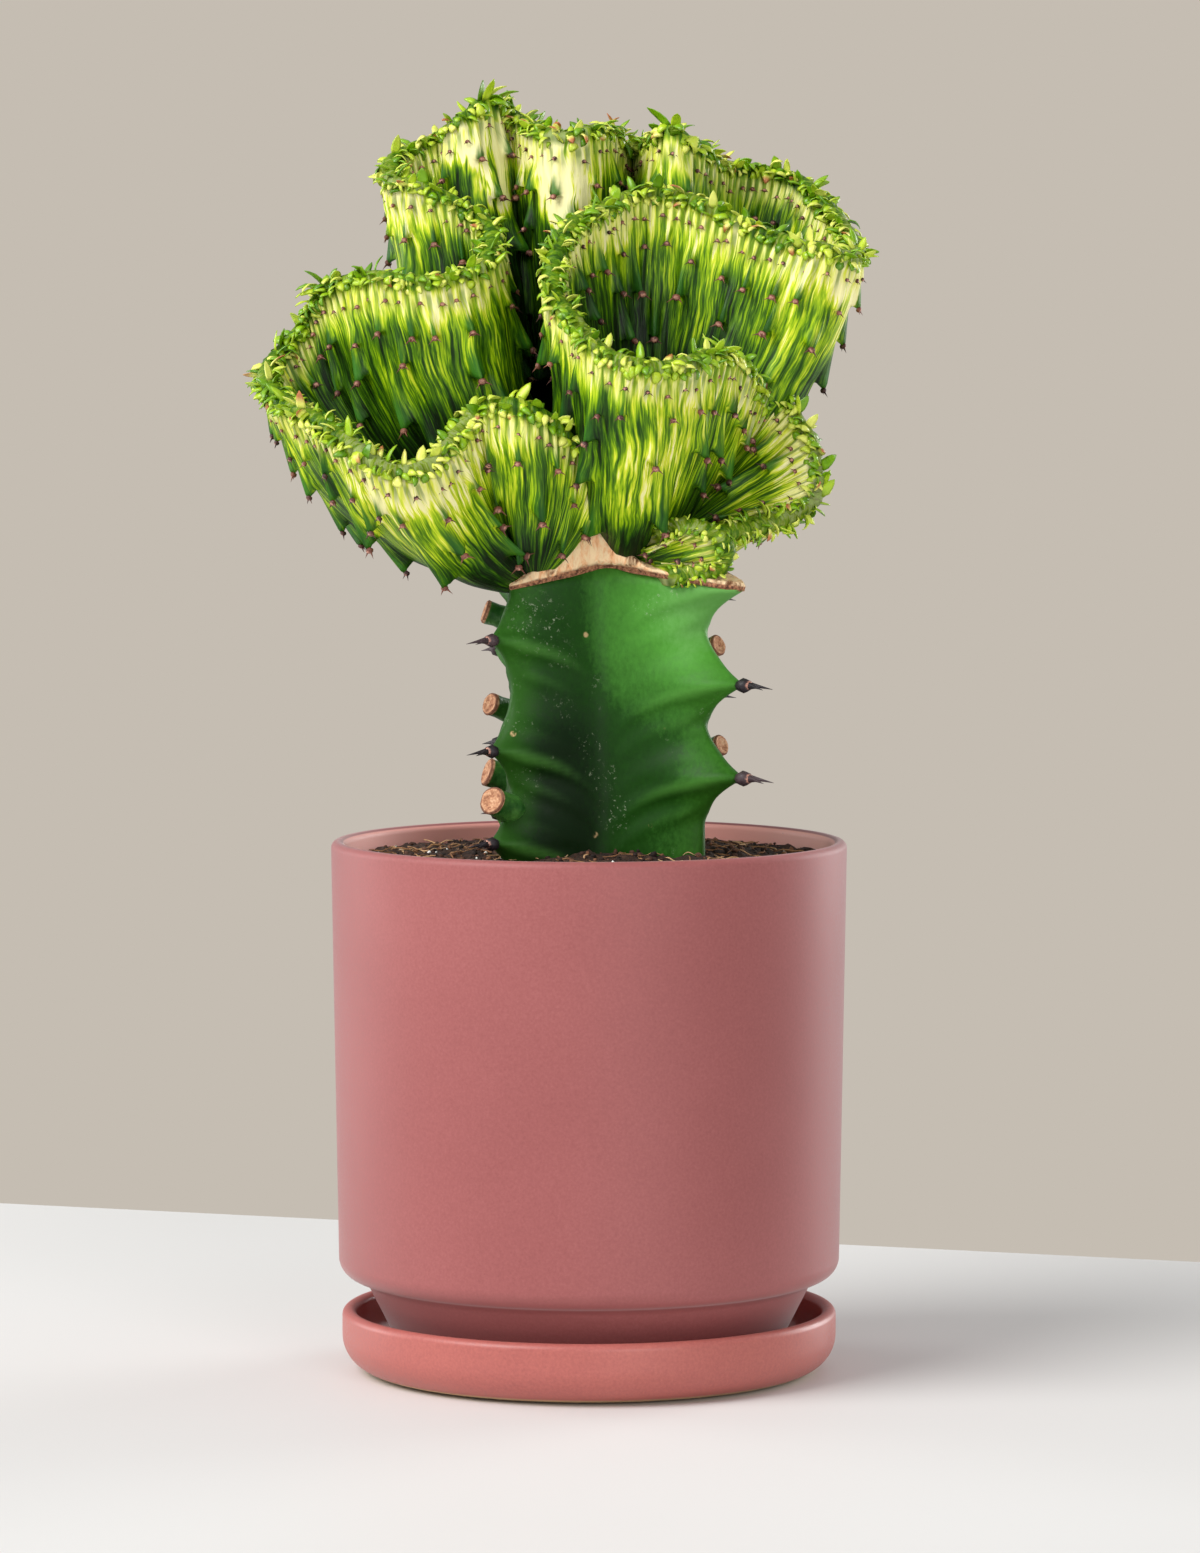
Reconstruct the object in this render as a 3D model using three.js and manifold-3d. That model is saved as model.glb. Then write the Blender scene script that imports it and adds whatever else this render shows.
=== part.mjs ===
// A potted mermaid tail cactus: a ruffled, crested euphorbia grafted on a four-angled rootstock,
// planted in a ceramic cylinder pot that stands in its saucer.
// Millimetres, +Z up. The origin is on the pot's axis, on the flat underside of the saucer, and the
// graft's open side with its callus faces -Y.
import * as THREE from "three";
import Module from "manifold-3d";

const wasm = await Module();
wasm.setup();
const { Manifold, Mesh } = wasm;

// Driving dimensions

const FIT = 0.3; // gap between pieces that lie in or on each other
const SIDES = 48; // facets round the pot and the saucer
const SLIVER = 0.03; // facets thinner than this are closed up after a join or a cut

const SAUCER = {
  outer: 62.5,
  foot: 49, // radius of the flat underside
  height: 16,
  floor: 4,
  wall: 3.6,
  heel: 9, // rounding from the underside to the wall
  cove: 5, // and inside, from the floor to the wall
};
const POT = {
  rim: 65, // outer radius at the rim
  low: 63.3, // outer radius low on the wall
  height: 134.5, // top of the rim above the saucer's underside
  shoulder: 23.5, // where the wall turns under to the foot
  footTop: 56.5,
  footBottom: 47,
  wall: 3.6,
  floor: 10, // inner floor
  heel: 5, // rounding of the shoulder
  cove: 6, // and inside, from the shoulder to the wall
  recess: 2, // hollow under the floor, inside the foot ring
  recessSlope: 1.5,
  drain: 6, // radius of the drainage hole
};
const SOIL = {
  level: 129.8, // at the wall
  mound: 3.4, // how much it is heaped round the stem
  spread: 38, // and how far from it
  crumb: 1.2, // roughness of the surface
  slack: 0.35, // extra gap to the pot's facets
};

const STOCK = {
  x: 4.2,
  y: -1,
  sole: 78, // lower end, in the soil
  ground: 129, // above this the ridges grow teeth
  corner: 199.5, // height of the cut top at the ridges
  crown: 205.5, // and at its middle
  ridge: 33.5, // radius at a ridge, between its teeth
  face: 18.5, // radius at the middle of a hollow face
  hollow: 1.55, // how hollow the faces are: 1 would be a flat-sided ridge
  toothAbove: 16, // a tooth slopes out over this height from above
  toothBelow: 12, // and back in over this height below its tip
  toothPower: 2, // how pointed the teeth are
  ringStep: 5.6, // height of a ring of facets
  arch: 0.85, // how far the cut top has risen at the middle of a face
};
// Each ridge: its direction in degrees, how far its teeth stand out, their heights, and its cut side
// shoots with their height and direction.
const RIDGES = [
  { turn: 226, reach: 8, teeth: [186.5, 159, 136], stubs: [[145, 236]] },
  { turn: 317, reach: 14, teeth: [199, 175.5, 152.5], stubs: [] },
  { turn: 46, reach: 7, teeth: [194, 169, 147], stubs: [[180.5, -16], [155, -16]] },
  { turn: 134, reach: 7, teeth: [198, 181, 157, 139], stubs: [[189, 186], [165.5, 200], [148, 192]] },
];
const STOCK_SPREAD = [-45, -24, -9, -2.5, 2.5, 9, 24]; // its corners, in degrees from a ridge
const SPINE = {
  length: 7.5,
  root: 0.9,
  sunk: 1.5,
  shield: 2.5, // radius of the horny shield it stands on
  shieldLength: 4.4,
  shieldSunk: 2.6,
  cutOff: 2, // a tooth nearer than this to the cut top has lost its spine
};
const STUB = { radius: 3.6, length: 9, sunk: 5, rise: 0.35, chamfer: 0.8, sides: 7 };

const CALLUS = {
  sill: 2.2, // height over the stem's cut top
  peak: 17, // extra height of the peak
  x: 3,
  y: -15.5,
  spreadX: 8.5,
  spreadY: 6.5,
  edge: 0.6, // how thick its edge is, as a share of the sill
  swell: 4, // how fast it grows to its full thickness from there
  below: 1, // how far it reaches under the stem's cut top, to be cut by it
  inset: 0.93, // its corners' turns from a ridge, as a share of the stem's
  reach: 0.98, // its radius at those corners, as a share of the stem's
  rough: 0.9,
  steep: 2.4, // a margin is this much wider upwards, because the peak is steep
};

const CREST = {
  rimThick: 4.6, // and just below the rim
  ridge: 1.6, // height of the roof along the rim
  roof: 0.4, // and half its width at the top
  flute: 0.12, // share by which flutes and grooves vary the thickness
  rows: [0, 6, 13, 22, 33, 46, 62, 80, 100], // facets: distances from the rim, on the longest flow lines
  halved: 6, // from this row down every second column goes on
  quartered: 8, // and from this one every fourth
  column: 11, // widest facet along the rim
  columnTurn: 48, // and the most that the rim turns in one facet, in degrees
  handle: 0.38, // length of a flow line's Bezier handles, as a share of its chord
  bulge: 0.5, // most that a face closes up on the inside of a fold
  least: 0.5, // least half thickness
};
const LEAFLET = {
  pitch: 8,
  half: 2.4,
  depth: 1.4,
  length: 5.2,
  sunk: 0.6,
  lean: 0.35, // least lean to one side, as a share of the length
  leanRange: 0.4,
  sway: 3, // along the rim
};
// Tubercles stand on both faces, on every fourth facet corner of a row, with a spine on some.
const TUBERCLE = {
  firstRow: 2,
  lastRow: 6,
  stand: 2.7,
  droop: 2.2,
  needle: 3.6,
  needleRoot: 0.8,
  needleSunk: 1.6,
  needleDroop: 0.6,
  spined: 0.22, // share of the tubercles that have a spine here
};
const CORE = { x: -1, y: -1, radius: 17, waist: 19, flat: 0.92, low: 204.6, high: 238 };

// The crest grew as one sheet. Its rim is given stretch by stretch as bends [x, y, z], with the
// place on the graft that the stretch's flow lines rise from and how much, in degrees, they leave it
// flatter than their chord and reach the rim steeper.
const CREST_RIM = [
  {
    from: [-12, -20.5, 203.5],
    curl: [25, 25],
    rim: [[3, -25, 225], [-2, -31, 233], [-8, -36, 240], [-15, -39, 244]],
  },
  {
    from: [-14, -19.5, 203],
    curl: [36, 36],
    rim: [[-22, -37, 245], [-28, -35, 243], [-32, -39, 238], [-37, -47, 232]],
  },
  {
    from: [-17, -16, 202],
    curl: [38, 38],
    rim: [
      [-43, -51, 229], [-50, -51, 230], [-56, -48, 234], [-63, -43, 239], [-70, -36, 243],
      [-76, -27, 246],
    ],
  },
  {
    from: [-19, -8, 204],
    curl: [40, 40],
    rim: [[-80, -15, 250], [-80, -4, 254], [-76, 3, 259], [-71, 6, 265], [-67, 3, 272], [-60, -5, 275]],
  },
  {
    from: [-15, -2, 207],
    curl: [38, 38],
    rim: [[-52, -11, 276], [-45, -14, 275], [-37, -15, 275], [-30, -14, 277], [-25, -9, 281]],
  },
  { from: [-9, 2, 209], curl: [25, 25], rim: [[-24, -1, 285], [-26, 5, 290], [-32, 8, 294]] },
  { from: [-10, 5, 209], curl: [35, 35], rim: [[-38, 8, 297], [-44, 9, 299], [-49, 14, 300]] },
  {
    from: [-9, 10, 208],
    curl: [35, 35],
    rim: [[-50, 22, 305], [-46, 28, 308], [-39, 31, 311], [-32, 27, 316], [-27, 31, 320], [-22, 39, 319]],
  },
  {
    from: [-2, 12, 207],
    curl: [30, 30],
    rim: [[-16, 34, 315], [-10, 22, 312], [-5, 19, 311], [1, 25, 313], [5, 37, 313], [8, 47, 309]],
  },
  {
    from: [6, 14, 207],
    curl: [25, 25],
    rim: [[12, 51, 308], [15, 44, 309], [18, 32, 311], [21, 22, 313], [25, 22, 310], [30, 31, 306]],
  },
  {
    from: [11, 12, 207],
    curl: [6, 30],
    rim: [[36, 42, 304], [45, 47, 303], [53, 44, 301], [57, 36, 298], [62, 25, 292], [66, 12, 286]],
  },
  {
    from: [18, 5, 206],
    curl: [5, 35],
    rim: [[67, 1, 282], [64, -8, 281], [58, -11, 283], [52, -8, 284], [44, -4, 287], [37, -1, 290]],
  },
  {
    from: [13, 0, 207],
    curl: [30, 30],
    rim: [[29, 3, 294], [22, 6, 296], [14, 6, 297], [7, 2, 295], [2, -5, 292], [-4, -14, 289]],
  },
  {
    from: [6, -6, 209],
    curl: [35, 35],
    rim: [[-7, -23, 284], [-9, -30, 278], [-8, -35, 271], [-4, -40, 266], [0, -44, 261], [5, -47, 257]],
  },
  {
    from: [9, -15, 206],
    curl: [38, 38],
    rim: [
      [11, -49, 255], [17, -48, 254], [24, -44, 255], [30, -37, 257], [35, -29, 257], [39, -20, 253],
      [41, -12, 249],
    ],
  },
  {
    from: [14, -13, 205],
    curl: [10, 10],
    rim: [[44, -6, 245], [49, -4, 245], [53, -8, 239], [56, -12, 234], [57, -15, 228]],
  },
  {
    from: [17, -17, 205],
    curl: [0, 0],
    rim: [[57, -18, 222], [52, -20, 218], [47, -22, 216], [40, -24, 214], [34, -26, 213]],
  },
  { from: [17, -22, 204], curl: [-5, -5], rim: [[28, -27, 211]] },
];
// A small fan at the right of the graft, and a lower frill behind it.
const SIDE_FAN = [
  {
    from: [9, -19, 209],
    curl: [0, 0],
    rim: [[17, -28, 212], [21, -31, 214], [26, -33, 215], [31, -34, 213]],
  },
  {
    from: [13, -20, 205],
    curl: [0, 0],
    rim: [[34, -34, 209], [34, -33, 205], [32, -32, 202], [27, -31, 200]],
  },
  { from: [11, -17, 202], curl: [0, 0], rim: [[20, -29, 199]] },
];
const BACK_FRILL = [
  {
    from: [-14, 8, 205],
    curl: [40, 40],
    rim: [[-40, 14, 225], [-50, 24, 234], [-53, 36, 240], [-45, 46, 242], [-33, 50, 237], [-20, 50, 233]],
  },
  {
    from: [-2, 14, 205],
    curl: [40, 40],
    rim: [[-8, 54, 237], [4, 61, 245], [18, 62, 249], [30, 54, 244], [37, 42, 236], [36, 28, 228]],
  },
  { from: [12, 12, 205], curl: [40, 40], rim: [[30, 18, 221]] },
];

// The sheets of the crest, with their thickness at the graft.
const SHEETS = [
  { stretches: CREST_RIM, trunkThick: 9 },
  { stretches: SIDE_FAN, trunkThick: 3.6 },
  { stretches: BACK_FRILL, trunkThick: 8 },
];

const MATERIALS = {
  saucer: { color: 0xc47470, roughness: 0.55 },
  pot: { color: 0xbe7574, roughness: 0.6 },
  soil: { color: 0x3a2a20, roughness: 1 },
  rootstock: { color: 0x1d6a2b, roughness: 0.4 },
  graft_callus: { color: 0xc69468, roughness: 0.9 },
  crest: { color: 0x8fae34, roughness: 0.5 },
};

// Small helpers

const v3 = (x, y, z) => new THREE.Vector3(x, y, z);
const clamp01 = (t) => Math.min(1, Math.max(0, t));
const radians = THREE.MathUtils.degToRad;

function seededRandom(seed) {
  let state = seed;
  return () => {
    state = (state * 1664525 + 1013904223) % 4294967296;
    return state / 4294967296;
  };
}

function solidFrom(points, triangles) {
  return new Manifold(
    new Mesh({
      numProp: 3,
      vertProperties: new Float32Array(points.flatMap((p) => [p.x, p.y, p.z])),
      triVerts: new Uint32Array(triangles.flat()),
    }),
  );
}

// The largest body of a solid, as a geometry: slivers are closed up, and scraps that a cut leaves
// loose are dropped.
function geometryOf(solid) {
  const bodies = solid.simplify(SLIVER).decompose().sort((a, b) => b.volume() - a.volume());
  const mesh = bodies[0].getMesh();
  const geometry = new THREE.BufferGeometry();
  geometry.setAttribute("position", new THREE.BufferAttribute(new Float32Array(mesh.vertProperties), 3));
  geometry.setIndex(new THREE.BufferAttribute(new Uint32Array(mesh.triVerts), 1));
  geometry.computeVertexNormals();
  return geometry;
}

function part(name, geometry) {
  const material = new THREE.MeshStandardMaterial({ metalness: 0, flatShading: true, ...MATERIALS[name] });
  const mesh = new THREE.Mesh(geometry, material);
  mesh.name = name;
  return mesh;
}

// Points of an arc in the profile plane, from one angle to another in degrees.
function arc(r, z, radius, from, to, steps) {
  return Array.from({ length: steps + 1 }, (_, i) => {
    const a = radians(from + ((to - from) * i) / steps);
    return [r + radius * Math.cos(a), z + radius * Math.sin(a)];
  });
}

function turned(profile) {
  const points = profile.map(([r, z]) => new THREE.Vector2(r, z));
  return new THREE.LatheGeometry(points, SIDES).rotateX(Math.PI / 2);
}

// A solid through stacked rings of equally many points, closed by a point at each end.
function lofted(rings, bottom, top) {
  const n = rings[0].length;
  const points = [bottom, ...rings.flat(), top];
  const triangles = [];
  const at = (ring, i) => 1 + ring * n + (i % n);
  for (let i = 0; i < n; i++) {
    triangles.push([0, at(0, i + 1), at(0, i)]);
    for (let k = 0; k + 1 < rings.length; k++) {
      triangles.push([at(k, i), at(k, i + 1), at(k + 1, i + 1)]);
      triangles.push([at(k, i), at(k + 1, i + 1), at(k + 1, i)]);
    }
    triangles.push([points.length - 1, at(rings.length - 1, i), at(rings.length - 1, i + 1)]);
  }
  return solidFrom(points, triangles);
}

// A spike with a flat root: the root's corners, in order round the axis, and the tip.
function spike(root, tip) {
  const axis = tip.clone().sub(root[0]);
  const normal = root[1].clone().sub(root[0]).cross(root[2].clone().sub(root[0]));
  const corners = normal.dot(axis) > 0 ? root : [...root].reverse();
  const n = corners.length;
  const triangles = corners.map((_, i) => [i, (i + 1) % n, n]);
  for (let i = 1; i + 1 < n; i++) triangles.push([0, i + 1, i]);
  return solidFrom([...corners, tip], triangles);
}

// A round-rooted spike from a place along a direction.
function needle(place, direction, radius, length, sides = 3) {
  const side = Math.abs(direction.z) < 0.9 ? v3(0, 0, 1) : v3(1, 0, 0);
  const a = side.clone().cross(direction).normalize();
  const b = direction.clone().cross(a).normalize();
  const root = Array.from({ length: sides }, (_, i) => {
    const turn = (2 * Math.PI * i) / sides;
    const aside = a.clone().multiplyScalar(radius * Math.cos(turn));
    return place.clone().add(aside).addScaledVector(b, radius * Math.sin(turn));
  });
  return spike(root, place.clone().addScaledVector(direction, length));
}

// Saucer, pot and soil

function saucer() {
  const { outer, foot, height, floor, wall, heel, cove } = SAUCER;
  const bead = wall / 2;
  return turned([
    [0, 0],
    [foot, 0],
    ...arc(outer - heel, heel + 0.4, heel, -75, 0, 3),
    ...arc(outer - bead, height - bead, bead, 0, 180, 4),
    ...arc(outer - wall - cove, floor + cove, cove, 0, -90, 3),
    [0, floor],
  ]);
}

function pot() {
  const { rim, low, height, shoulder, footTop, footBottom, wall, floor } = POT;
  const { heel, cove, recess, recessSlope, drain } = POT;
  const lip = wall / 2;
  const base = SAUCER.floor;
  return turned([
    [drain, floor],
    [drain, base + recess],
    [footBottom - wall - recessSlope, base + recess],
    [footBottom - wall, base],
    [footBottom, base],
    [footTop, shoulder],
    ...arc(low - heel, shoulder + heel + 0.5, heel, -80, 0, 4),
    ...arc(rim - lip, height - lip, lip, 0, 180, 4),
    ...arc(low - wall - cove, shoulder + 2 * cove, cove, 0, -60, 2),
    [footTop - wall, shoulder + 3],
    [footBottom - wall, floor],
    [drain, floor],
  ]);
}

// Height of the soil: level at the wall, heaped a little round the stem, with a crumbly surface.
function soilHeight(x, y, random) {
  const r = Math.hypot(x - STOCK.x, y - STOCK.y);
  return SOIL.level + SOIL.mound * Math.exp(-((r / SOIL.spread) ** 4)) + (random() - 0.5) * SOIL.crumb;
}

function soil() {
  const random = seededRandom(11);
  const { rim, low, shoulder, footTop, footBottom, wall, floor } = POT;
  const sides = 32;
  const inner = (z) => low - wall + ((rim - low) * (z - shoulder - 12)) / (POT.height - shoulder - 12);
  const fit = FIT / Math.cos(Math.PI / sides) + SOIL.slack;
  const ring = (radius, z) =>
    Array.from({ length: sides }, (_, i) => {
      const turn = (2 * Math.PI * i) / sides;
      return v3(radius * Math.cos(turn), radius * Math.sin(turn), z);
    });
  const heaped = (share) =>
    ring((inner(SOIL.level) - fit) * share, 0).map((p) => v3(p.x, p.y, soilHeight(p.x, p.y, random)));
  const rings = [
    ring(footBottom - wall - fit - 0.6, floor),
    ring(footTop - wall - fit - 1, shoulder + 3),
    ring(low - wall - fit - 1, shoulder + 13),
    ...[1, 0.9, 0.78, 0.66, 0.54, 0.36].map(heaped),
  ];
  return lofted(rings, v3(0, 0, floor), v3(0, 0, SOIL.level + SOIL.mound)).subtract(stockBody(FIT));
}

// Rootstock

// How far a ridge stands from the stem's axis at a height: rounded hollows between pointed teeth.
function ridgeRadius(ridge, z) {
  if (z <= STOCK.ground) return STOCK.ridge;
  const away = (at) => (z > at ? (z - at) / STOCK.toothAbove : (at - z) / STOCK.toothBelow);
  const tooth = Math.max(...ridge.teeth.map((at) => clamp01(1 - away(at)) ** STOCK.toothPower));
  return STOCK.ridge + ridge.reach * tooth;
}

// The four-angled stem, grown all round by a margin: with none it is the stem itself.
function stockBody(margin) {
  const levels = [STOCK.sole, STOCK.ground];
  for (let z = STOCK.ground + 3; z < STOCK.corner - 2; z += STOCK.ringStep) levels.push(z);
  levels.push(STOCK.corner);
  const rings = levels.map((z, level) =>
    RIDGES.flatMap((ridge) =>
      STOCK_SPREAD.map((offset) => {
        const share = (1 - Math.abs(offset) / 45) ** STOCK.hollow;
        const radius = STOCK.face + (ridgeRadius(ridge, z) - STOCK.face) * share + margin;
        const turn = radians(ridge.turn + offset);
        const lift = (1 - share) * (STOCK.crown - STOCK.corner) * STOCK.arch + margin;
        const height = level === levels.length - 1 ? z + lift : z;
        return v3(STOCK.x + radius * Math.cos(turn), STOCK.y + radius * Math.sin(turn), height);
      }),
    ),
  );
  return lofted(rings, v3(STOCK.x, STOCK.y, STOCK.sole), v3(STOCK.x, STOCK.y, STOCK.crown + margin));
}

function rootstock() {
  const pieces = [stockBody(0)];
  for (const ridge of RIDGES) {
    const out = v3(Math.cos(radians(ridge.turn)), Math.sin(radians(ridge.turn)), 0);
    const at = (z, radius) => v3(STOCK.x, STOCK.y, z).addScaledVector(out, radius);
    for (const z of ridge.teeth.filter((tooth) => tooth < STOCK.corner - SPINE.cutOff)) {
      const tip = ridgeRadius(ridge, z);
      pieces.push(needle(at(z, tip - SPINE.shieldSunk), out, SPINE.shield, SPINE.shieldLength, 5));
      pieces.push(needle(at(z, tip - SPINE.sunk), out, SPINE.root, SPINE.length, 3));
    }
    for (const [z, way] of ridge.stubs) {
      const aside = v3(Math.cos(radians(way)), Math.sin(radians(way)), 0);
      pieces.push(stub(at(z, ridgeRadius(ridge, z) - STUB.sunk), aside));
    }
  }
  return Manifold.union(pieces);
}

// A short cut side shoot with a blunt end.
function stub(place, out) {
  const { radius, length, rise, chamfer, sides } = STUB;
  const lean = out.clone().add(v3(0, 0, rise)).normalize();
  const across = v3(0, 0, 1).cross(lean).normalize();
  const up = lean.clone().cross(across);
  const ring = (along, size) =>
    Array.from({ length: sides }, (_, i) => {
      const turn = (2 * Math.PI * i) / sides;
      return place
        .clone()
        .addScaledVector(lean, along)
        .addScaledVector(across, size * Math.cos(turn))
        .addScaledVector(up, size * Math.sin(turn));
    });
  const rings = [ring(0, radius * 1.1), ring(length - chamfer, radius), ring(length, radius - chamfer)];
  return lofted(rings, place.clone(), place.clone().addScaledVector(lean, length - chamfer));
}

// Callus over the graft: a thin corky sill on the stem's cut top that heaps up to a peak in front.

// The outline of the stem's cut top, just inside its corners: their turns, radii and heights.
function cutEdges() {
  return RIDGES.flatMap((ridge) =>
    STOCK_SPREAD.map((corner) => {
      const offset = corner * CALLUS.inset;
      const share = (1 - Math.abs(offset) / 45) ** STOCK.hollow;
      return {
        turn: radians(ridge.turn + offset),
        radius: CALLUS.reach * (STOCK.face + (ridgeRadius(ridge, STOCK.corner) - STOCK.face) * share),
        height: STOCK.corner + (1 - share) * (STOCK.crown - STOCK.corner) * STOCK.arch,
      };
    }),
  );
}

function callusPeak(x, y) {
  const bump = Math.exp(-(((x - CALLUS.x) / CALLUS.spreadX) ** 2) - ((y - CALLUS.y) / CALLUS.spreadY) ** 2);
  return CALLUS.peak * bump;
}

function callusBody(margin) {
  const random = seededRandom(5);
  const shares = [1, 0.92, 0.76, 0.58, 0.4, 0.2]; // of the way from the middle to the edge
  const rings = shares.map((share, k) =>
    cutEdges().map(({ turn, radius, height }) => {
      const x = STOCK.x + (radius * share + margin) * Math.cos(turn);
      const y = STOCK.y + (radius * share + margin) * Math.sin(turn);
      const cut = height * share + STOCK.crown * (1 - share);
      const sill = CALLUS.sill * (CALLUS.edge + (1 - CALLUS.edge) * Math.min(1, CALLUS.swell * (1 - share)));
      const rough = k > 0 ? (random() - 0.5) * CALLUS.rough : 0;
      return v3(x, y, cut + sill + callusPeak(x, y) + rough + margin * CALLUS.steep);
    }),
  );
  const under = CALLUS.below + margin;
  const sole = cutEdges().map(({ height }, i) => v3(rings[0][i].x, rings[0][i].y, height - under));
  const top = STOCK.crown + CALLUS.sill + callusPeak(STOCK.x, STOCK.y) + margin * CALLUS.steep;
  const middle = v3(STOCK.x, STOCK.y, STOCK.crown - under);
  return lofted([sole, ...rings], middle, v3(STOCK.x, STOCK.y, top));
}

// Crest

// A sheet of the crest: its rim, and the curve on the graft and the curl that go with it.
function sheetFrom({ stretches, trunkThick }) {
  const rim = stretches.flatMap((s) => s.rim);
  const starts = [];
  let count = 0;
  for (const s of stretches) {
    starts.push(count);
    count += s.rim.length;
  }
  const between = (i, pick) => {
    const k = Math.max(0, starts.findLastIndex((start) => start <= i));
    if (k === stretches.length - 1) return pick(stretches[k]);
    const t = (i - starts[k]) / (starts[k + 1] - starts[k]);
    return pick(stretches[k]) * (1 - t) + pick(stretches[k + 1]) * t;
  };
  const curve = (points) => new THREE.CatmullRomCurve3(points, false, "catmullrom", 0.5);
  return {
    trunkThick,
    rim: curve(rim.map((p) => v3(...p))),
    graft: curve(rim.map((_, i) => v3(...[0, 1, 2].map((axis) => between(i, (s) => s.from[axis]))))),
    curl: curve(rim.map((_, i) => v3(between(i, (s) => s.curl[0]), between(i, (s) => s.curl[1]), i))),
  };
}

// The flow line that rises from the graft to the rim at t, from 0 to 1 along the rim's bends.
function flowLine(sheet, t) {
  const start = sheet.graft.getPoint(t);
  const end = sheet.rim.getPoint(t);
  const chord = end.clone().sub(start);
  const run = Math.hypot(chord.x, chord.y);
  const climb = Math.atan2(chord.z, run);
  const curl = sheet.curl.getPoint(t).multiplyScalar(radians(1) * Math.cos(climb));
  const heading = (angle) =>
    v3((chord.x / run) * Math.cos(angle), (chord.y / run) * Math.cos(angle), Math.sin(angle));
  const reach = chord.length() * CREST.handle;
  return new THREE.CubicBezierCurve3(
    start,
    start.clone().addScaledVector(heading(climb - curl.x), reach),
    end.clone().addScaledVector(heading(climb + curl.y), -reach),
    end,
  );
}

// The sheet's middle surface at (t, s), s from 0 at the graft to 1 at the rim, with its frame.
function surface(sheet, t, s) {
  const step = 0.0015;
  const before = flowLine(sheet, clamp01(t - step));
  const after = flowLine(sheet, clamp01(t + step));
  const here = flowLine(sheet, t);
  const point = here.getPoint(s);
  const a = before.getPoint(s);
  const b = after.getPoint(s);
  const along = b.clone().sub(a);
  const flow = here.getTangent(s);
  const normal = along.clone().cross(flow).normalize();
  return { point, flow, normal, along: along.normalize() };
}

// Places along the rim for the columns of facets: close together where the rim turns, wide where it
// runs straight, and a multiple of four facets in all.
function columnPlaces(sheet) {
  const samples = 800;
  const spent = [0];
  for (let i = 1; i <= samples; i++) {
    const a = (i - 1) / samples;
    const b = i / samples;
    const length = sheet.rim.getPoint(a).distanceTo(sheet.rim.getPoint(b));
    const turn = sheet.rim.getTangent(a).angleTo(sheet.rim.getTangent(b)) / radians(1);
    spent.push(spent[i - 1] + length / CREST.column + turn / CREST.columnTurn);
  }
  const count = 4 * Math.round(spent[samples] / 4);
  return Array.from({ length: count + 1 }, (_, k) => {
    const wanted = (spent[samples] * k) / count;
    const i = Math.min(samples, Math.max(1, spent.findIndex((value) => value >= wanted)));
    return (i - 1 + clamp01((wanted - spent[i - 1]) / (spent[i] - spent[i - 1]))) / samples;
  });
}

// How many columns apart the facet corners of a row are; row 0 is at the rim.
function strideOf(row) {
  if (row >= CREST.quartered) return 4;
  return row >= CREST.halved ? 2 : 1;
}

// The sheet's columns of facet corners, from the rim down. Each corner has its place on the middle
// surface, its normal and, for both sides, its half thickness and how far a tubercle stands out there.
function sheetColumns(sheet) {
  const columns = columnPlaces(sheet).map((t) => {
    const line = flowLine(sheet, t);
    const length = line.getLength();
    const rows = [...CREST.rows, length];
    return rows.map((below, row) => {
      const share = Math.min(below / length, row / (rows.length - 1));
      const s = line.getUtoTmapping(1 - share);
      return { point: line.getPoint(s), flow: line.getTangent(s) };
    });
  });
  const neighbours = (i, row) => {
    const stride = strideOf(row);
    return [columns[i - stride]?.[row], columns[i + stride]?.[row]];
  };
  columns.forEach((column, i) =>
    column.forEach((place, row) => {
      const [before = place, after = place] = neighbours(i, row);
      place.normal = after.point.clone().sub(before.point).cross(place.flow).normalize();
    }),
  );
  columns.forEach((column, i) =>
    column.forEach((place, row) => {
      const swell = 1 + (i % 2 ? CREST.flute : -CREST.flute);
      const share = row / (column.length - 1);
      const full = (swell * (CREST.rimThick + (sheet.trunkThick - CREST.rimThick) * share)) / 2;
      const near = neighbours(i, row).filter(Boolean);
      place.half = [1, -1].map((side) => {
        const limits = near.map((other) => foldLimit(place, other, side));
        return Math.max(CREST.least, Math.min(full, ...limits));
      });
      place.stand = [0, 2].map((start, k) => {
        const studded = row >= TUBERCLE.firstRow && row <= TUBERCLE.lastRow && (2 * row + i) % 4 === start;
        return studded && place.half[k] === full ? TUBERCLE.stand : 0;
      });
    }),
  );
  return columns;
}

// How thick one side may be before it closes up on the inside of the fold between two neighbours.
function foldLimit(place, other, side) {
  const gap = other.point.clone().sub(place.point);
  const closing = -side * other.normal.clone().sub(place.normal).dot(gap);
  return closing > 0 ? (CREST.bulge * gap.lengthSq()) / closing : Infinity;
}

function cornerOf(place, side) {
  const k = side === 1 ? 0 : 1;
  return place.point
    .clone()
    .addScaledVector(place.normal, side * (place.half[k] + place.stand[k]))
    .addScaledVector(place.flow, place.stand[k] ? -TUBERCLE.droop : 0);
}

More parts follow.
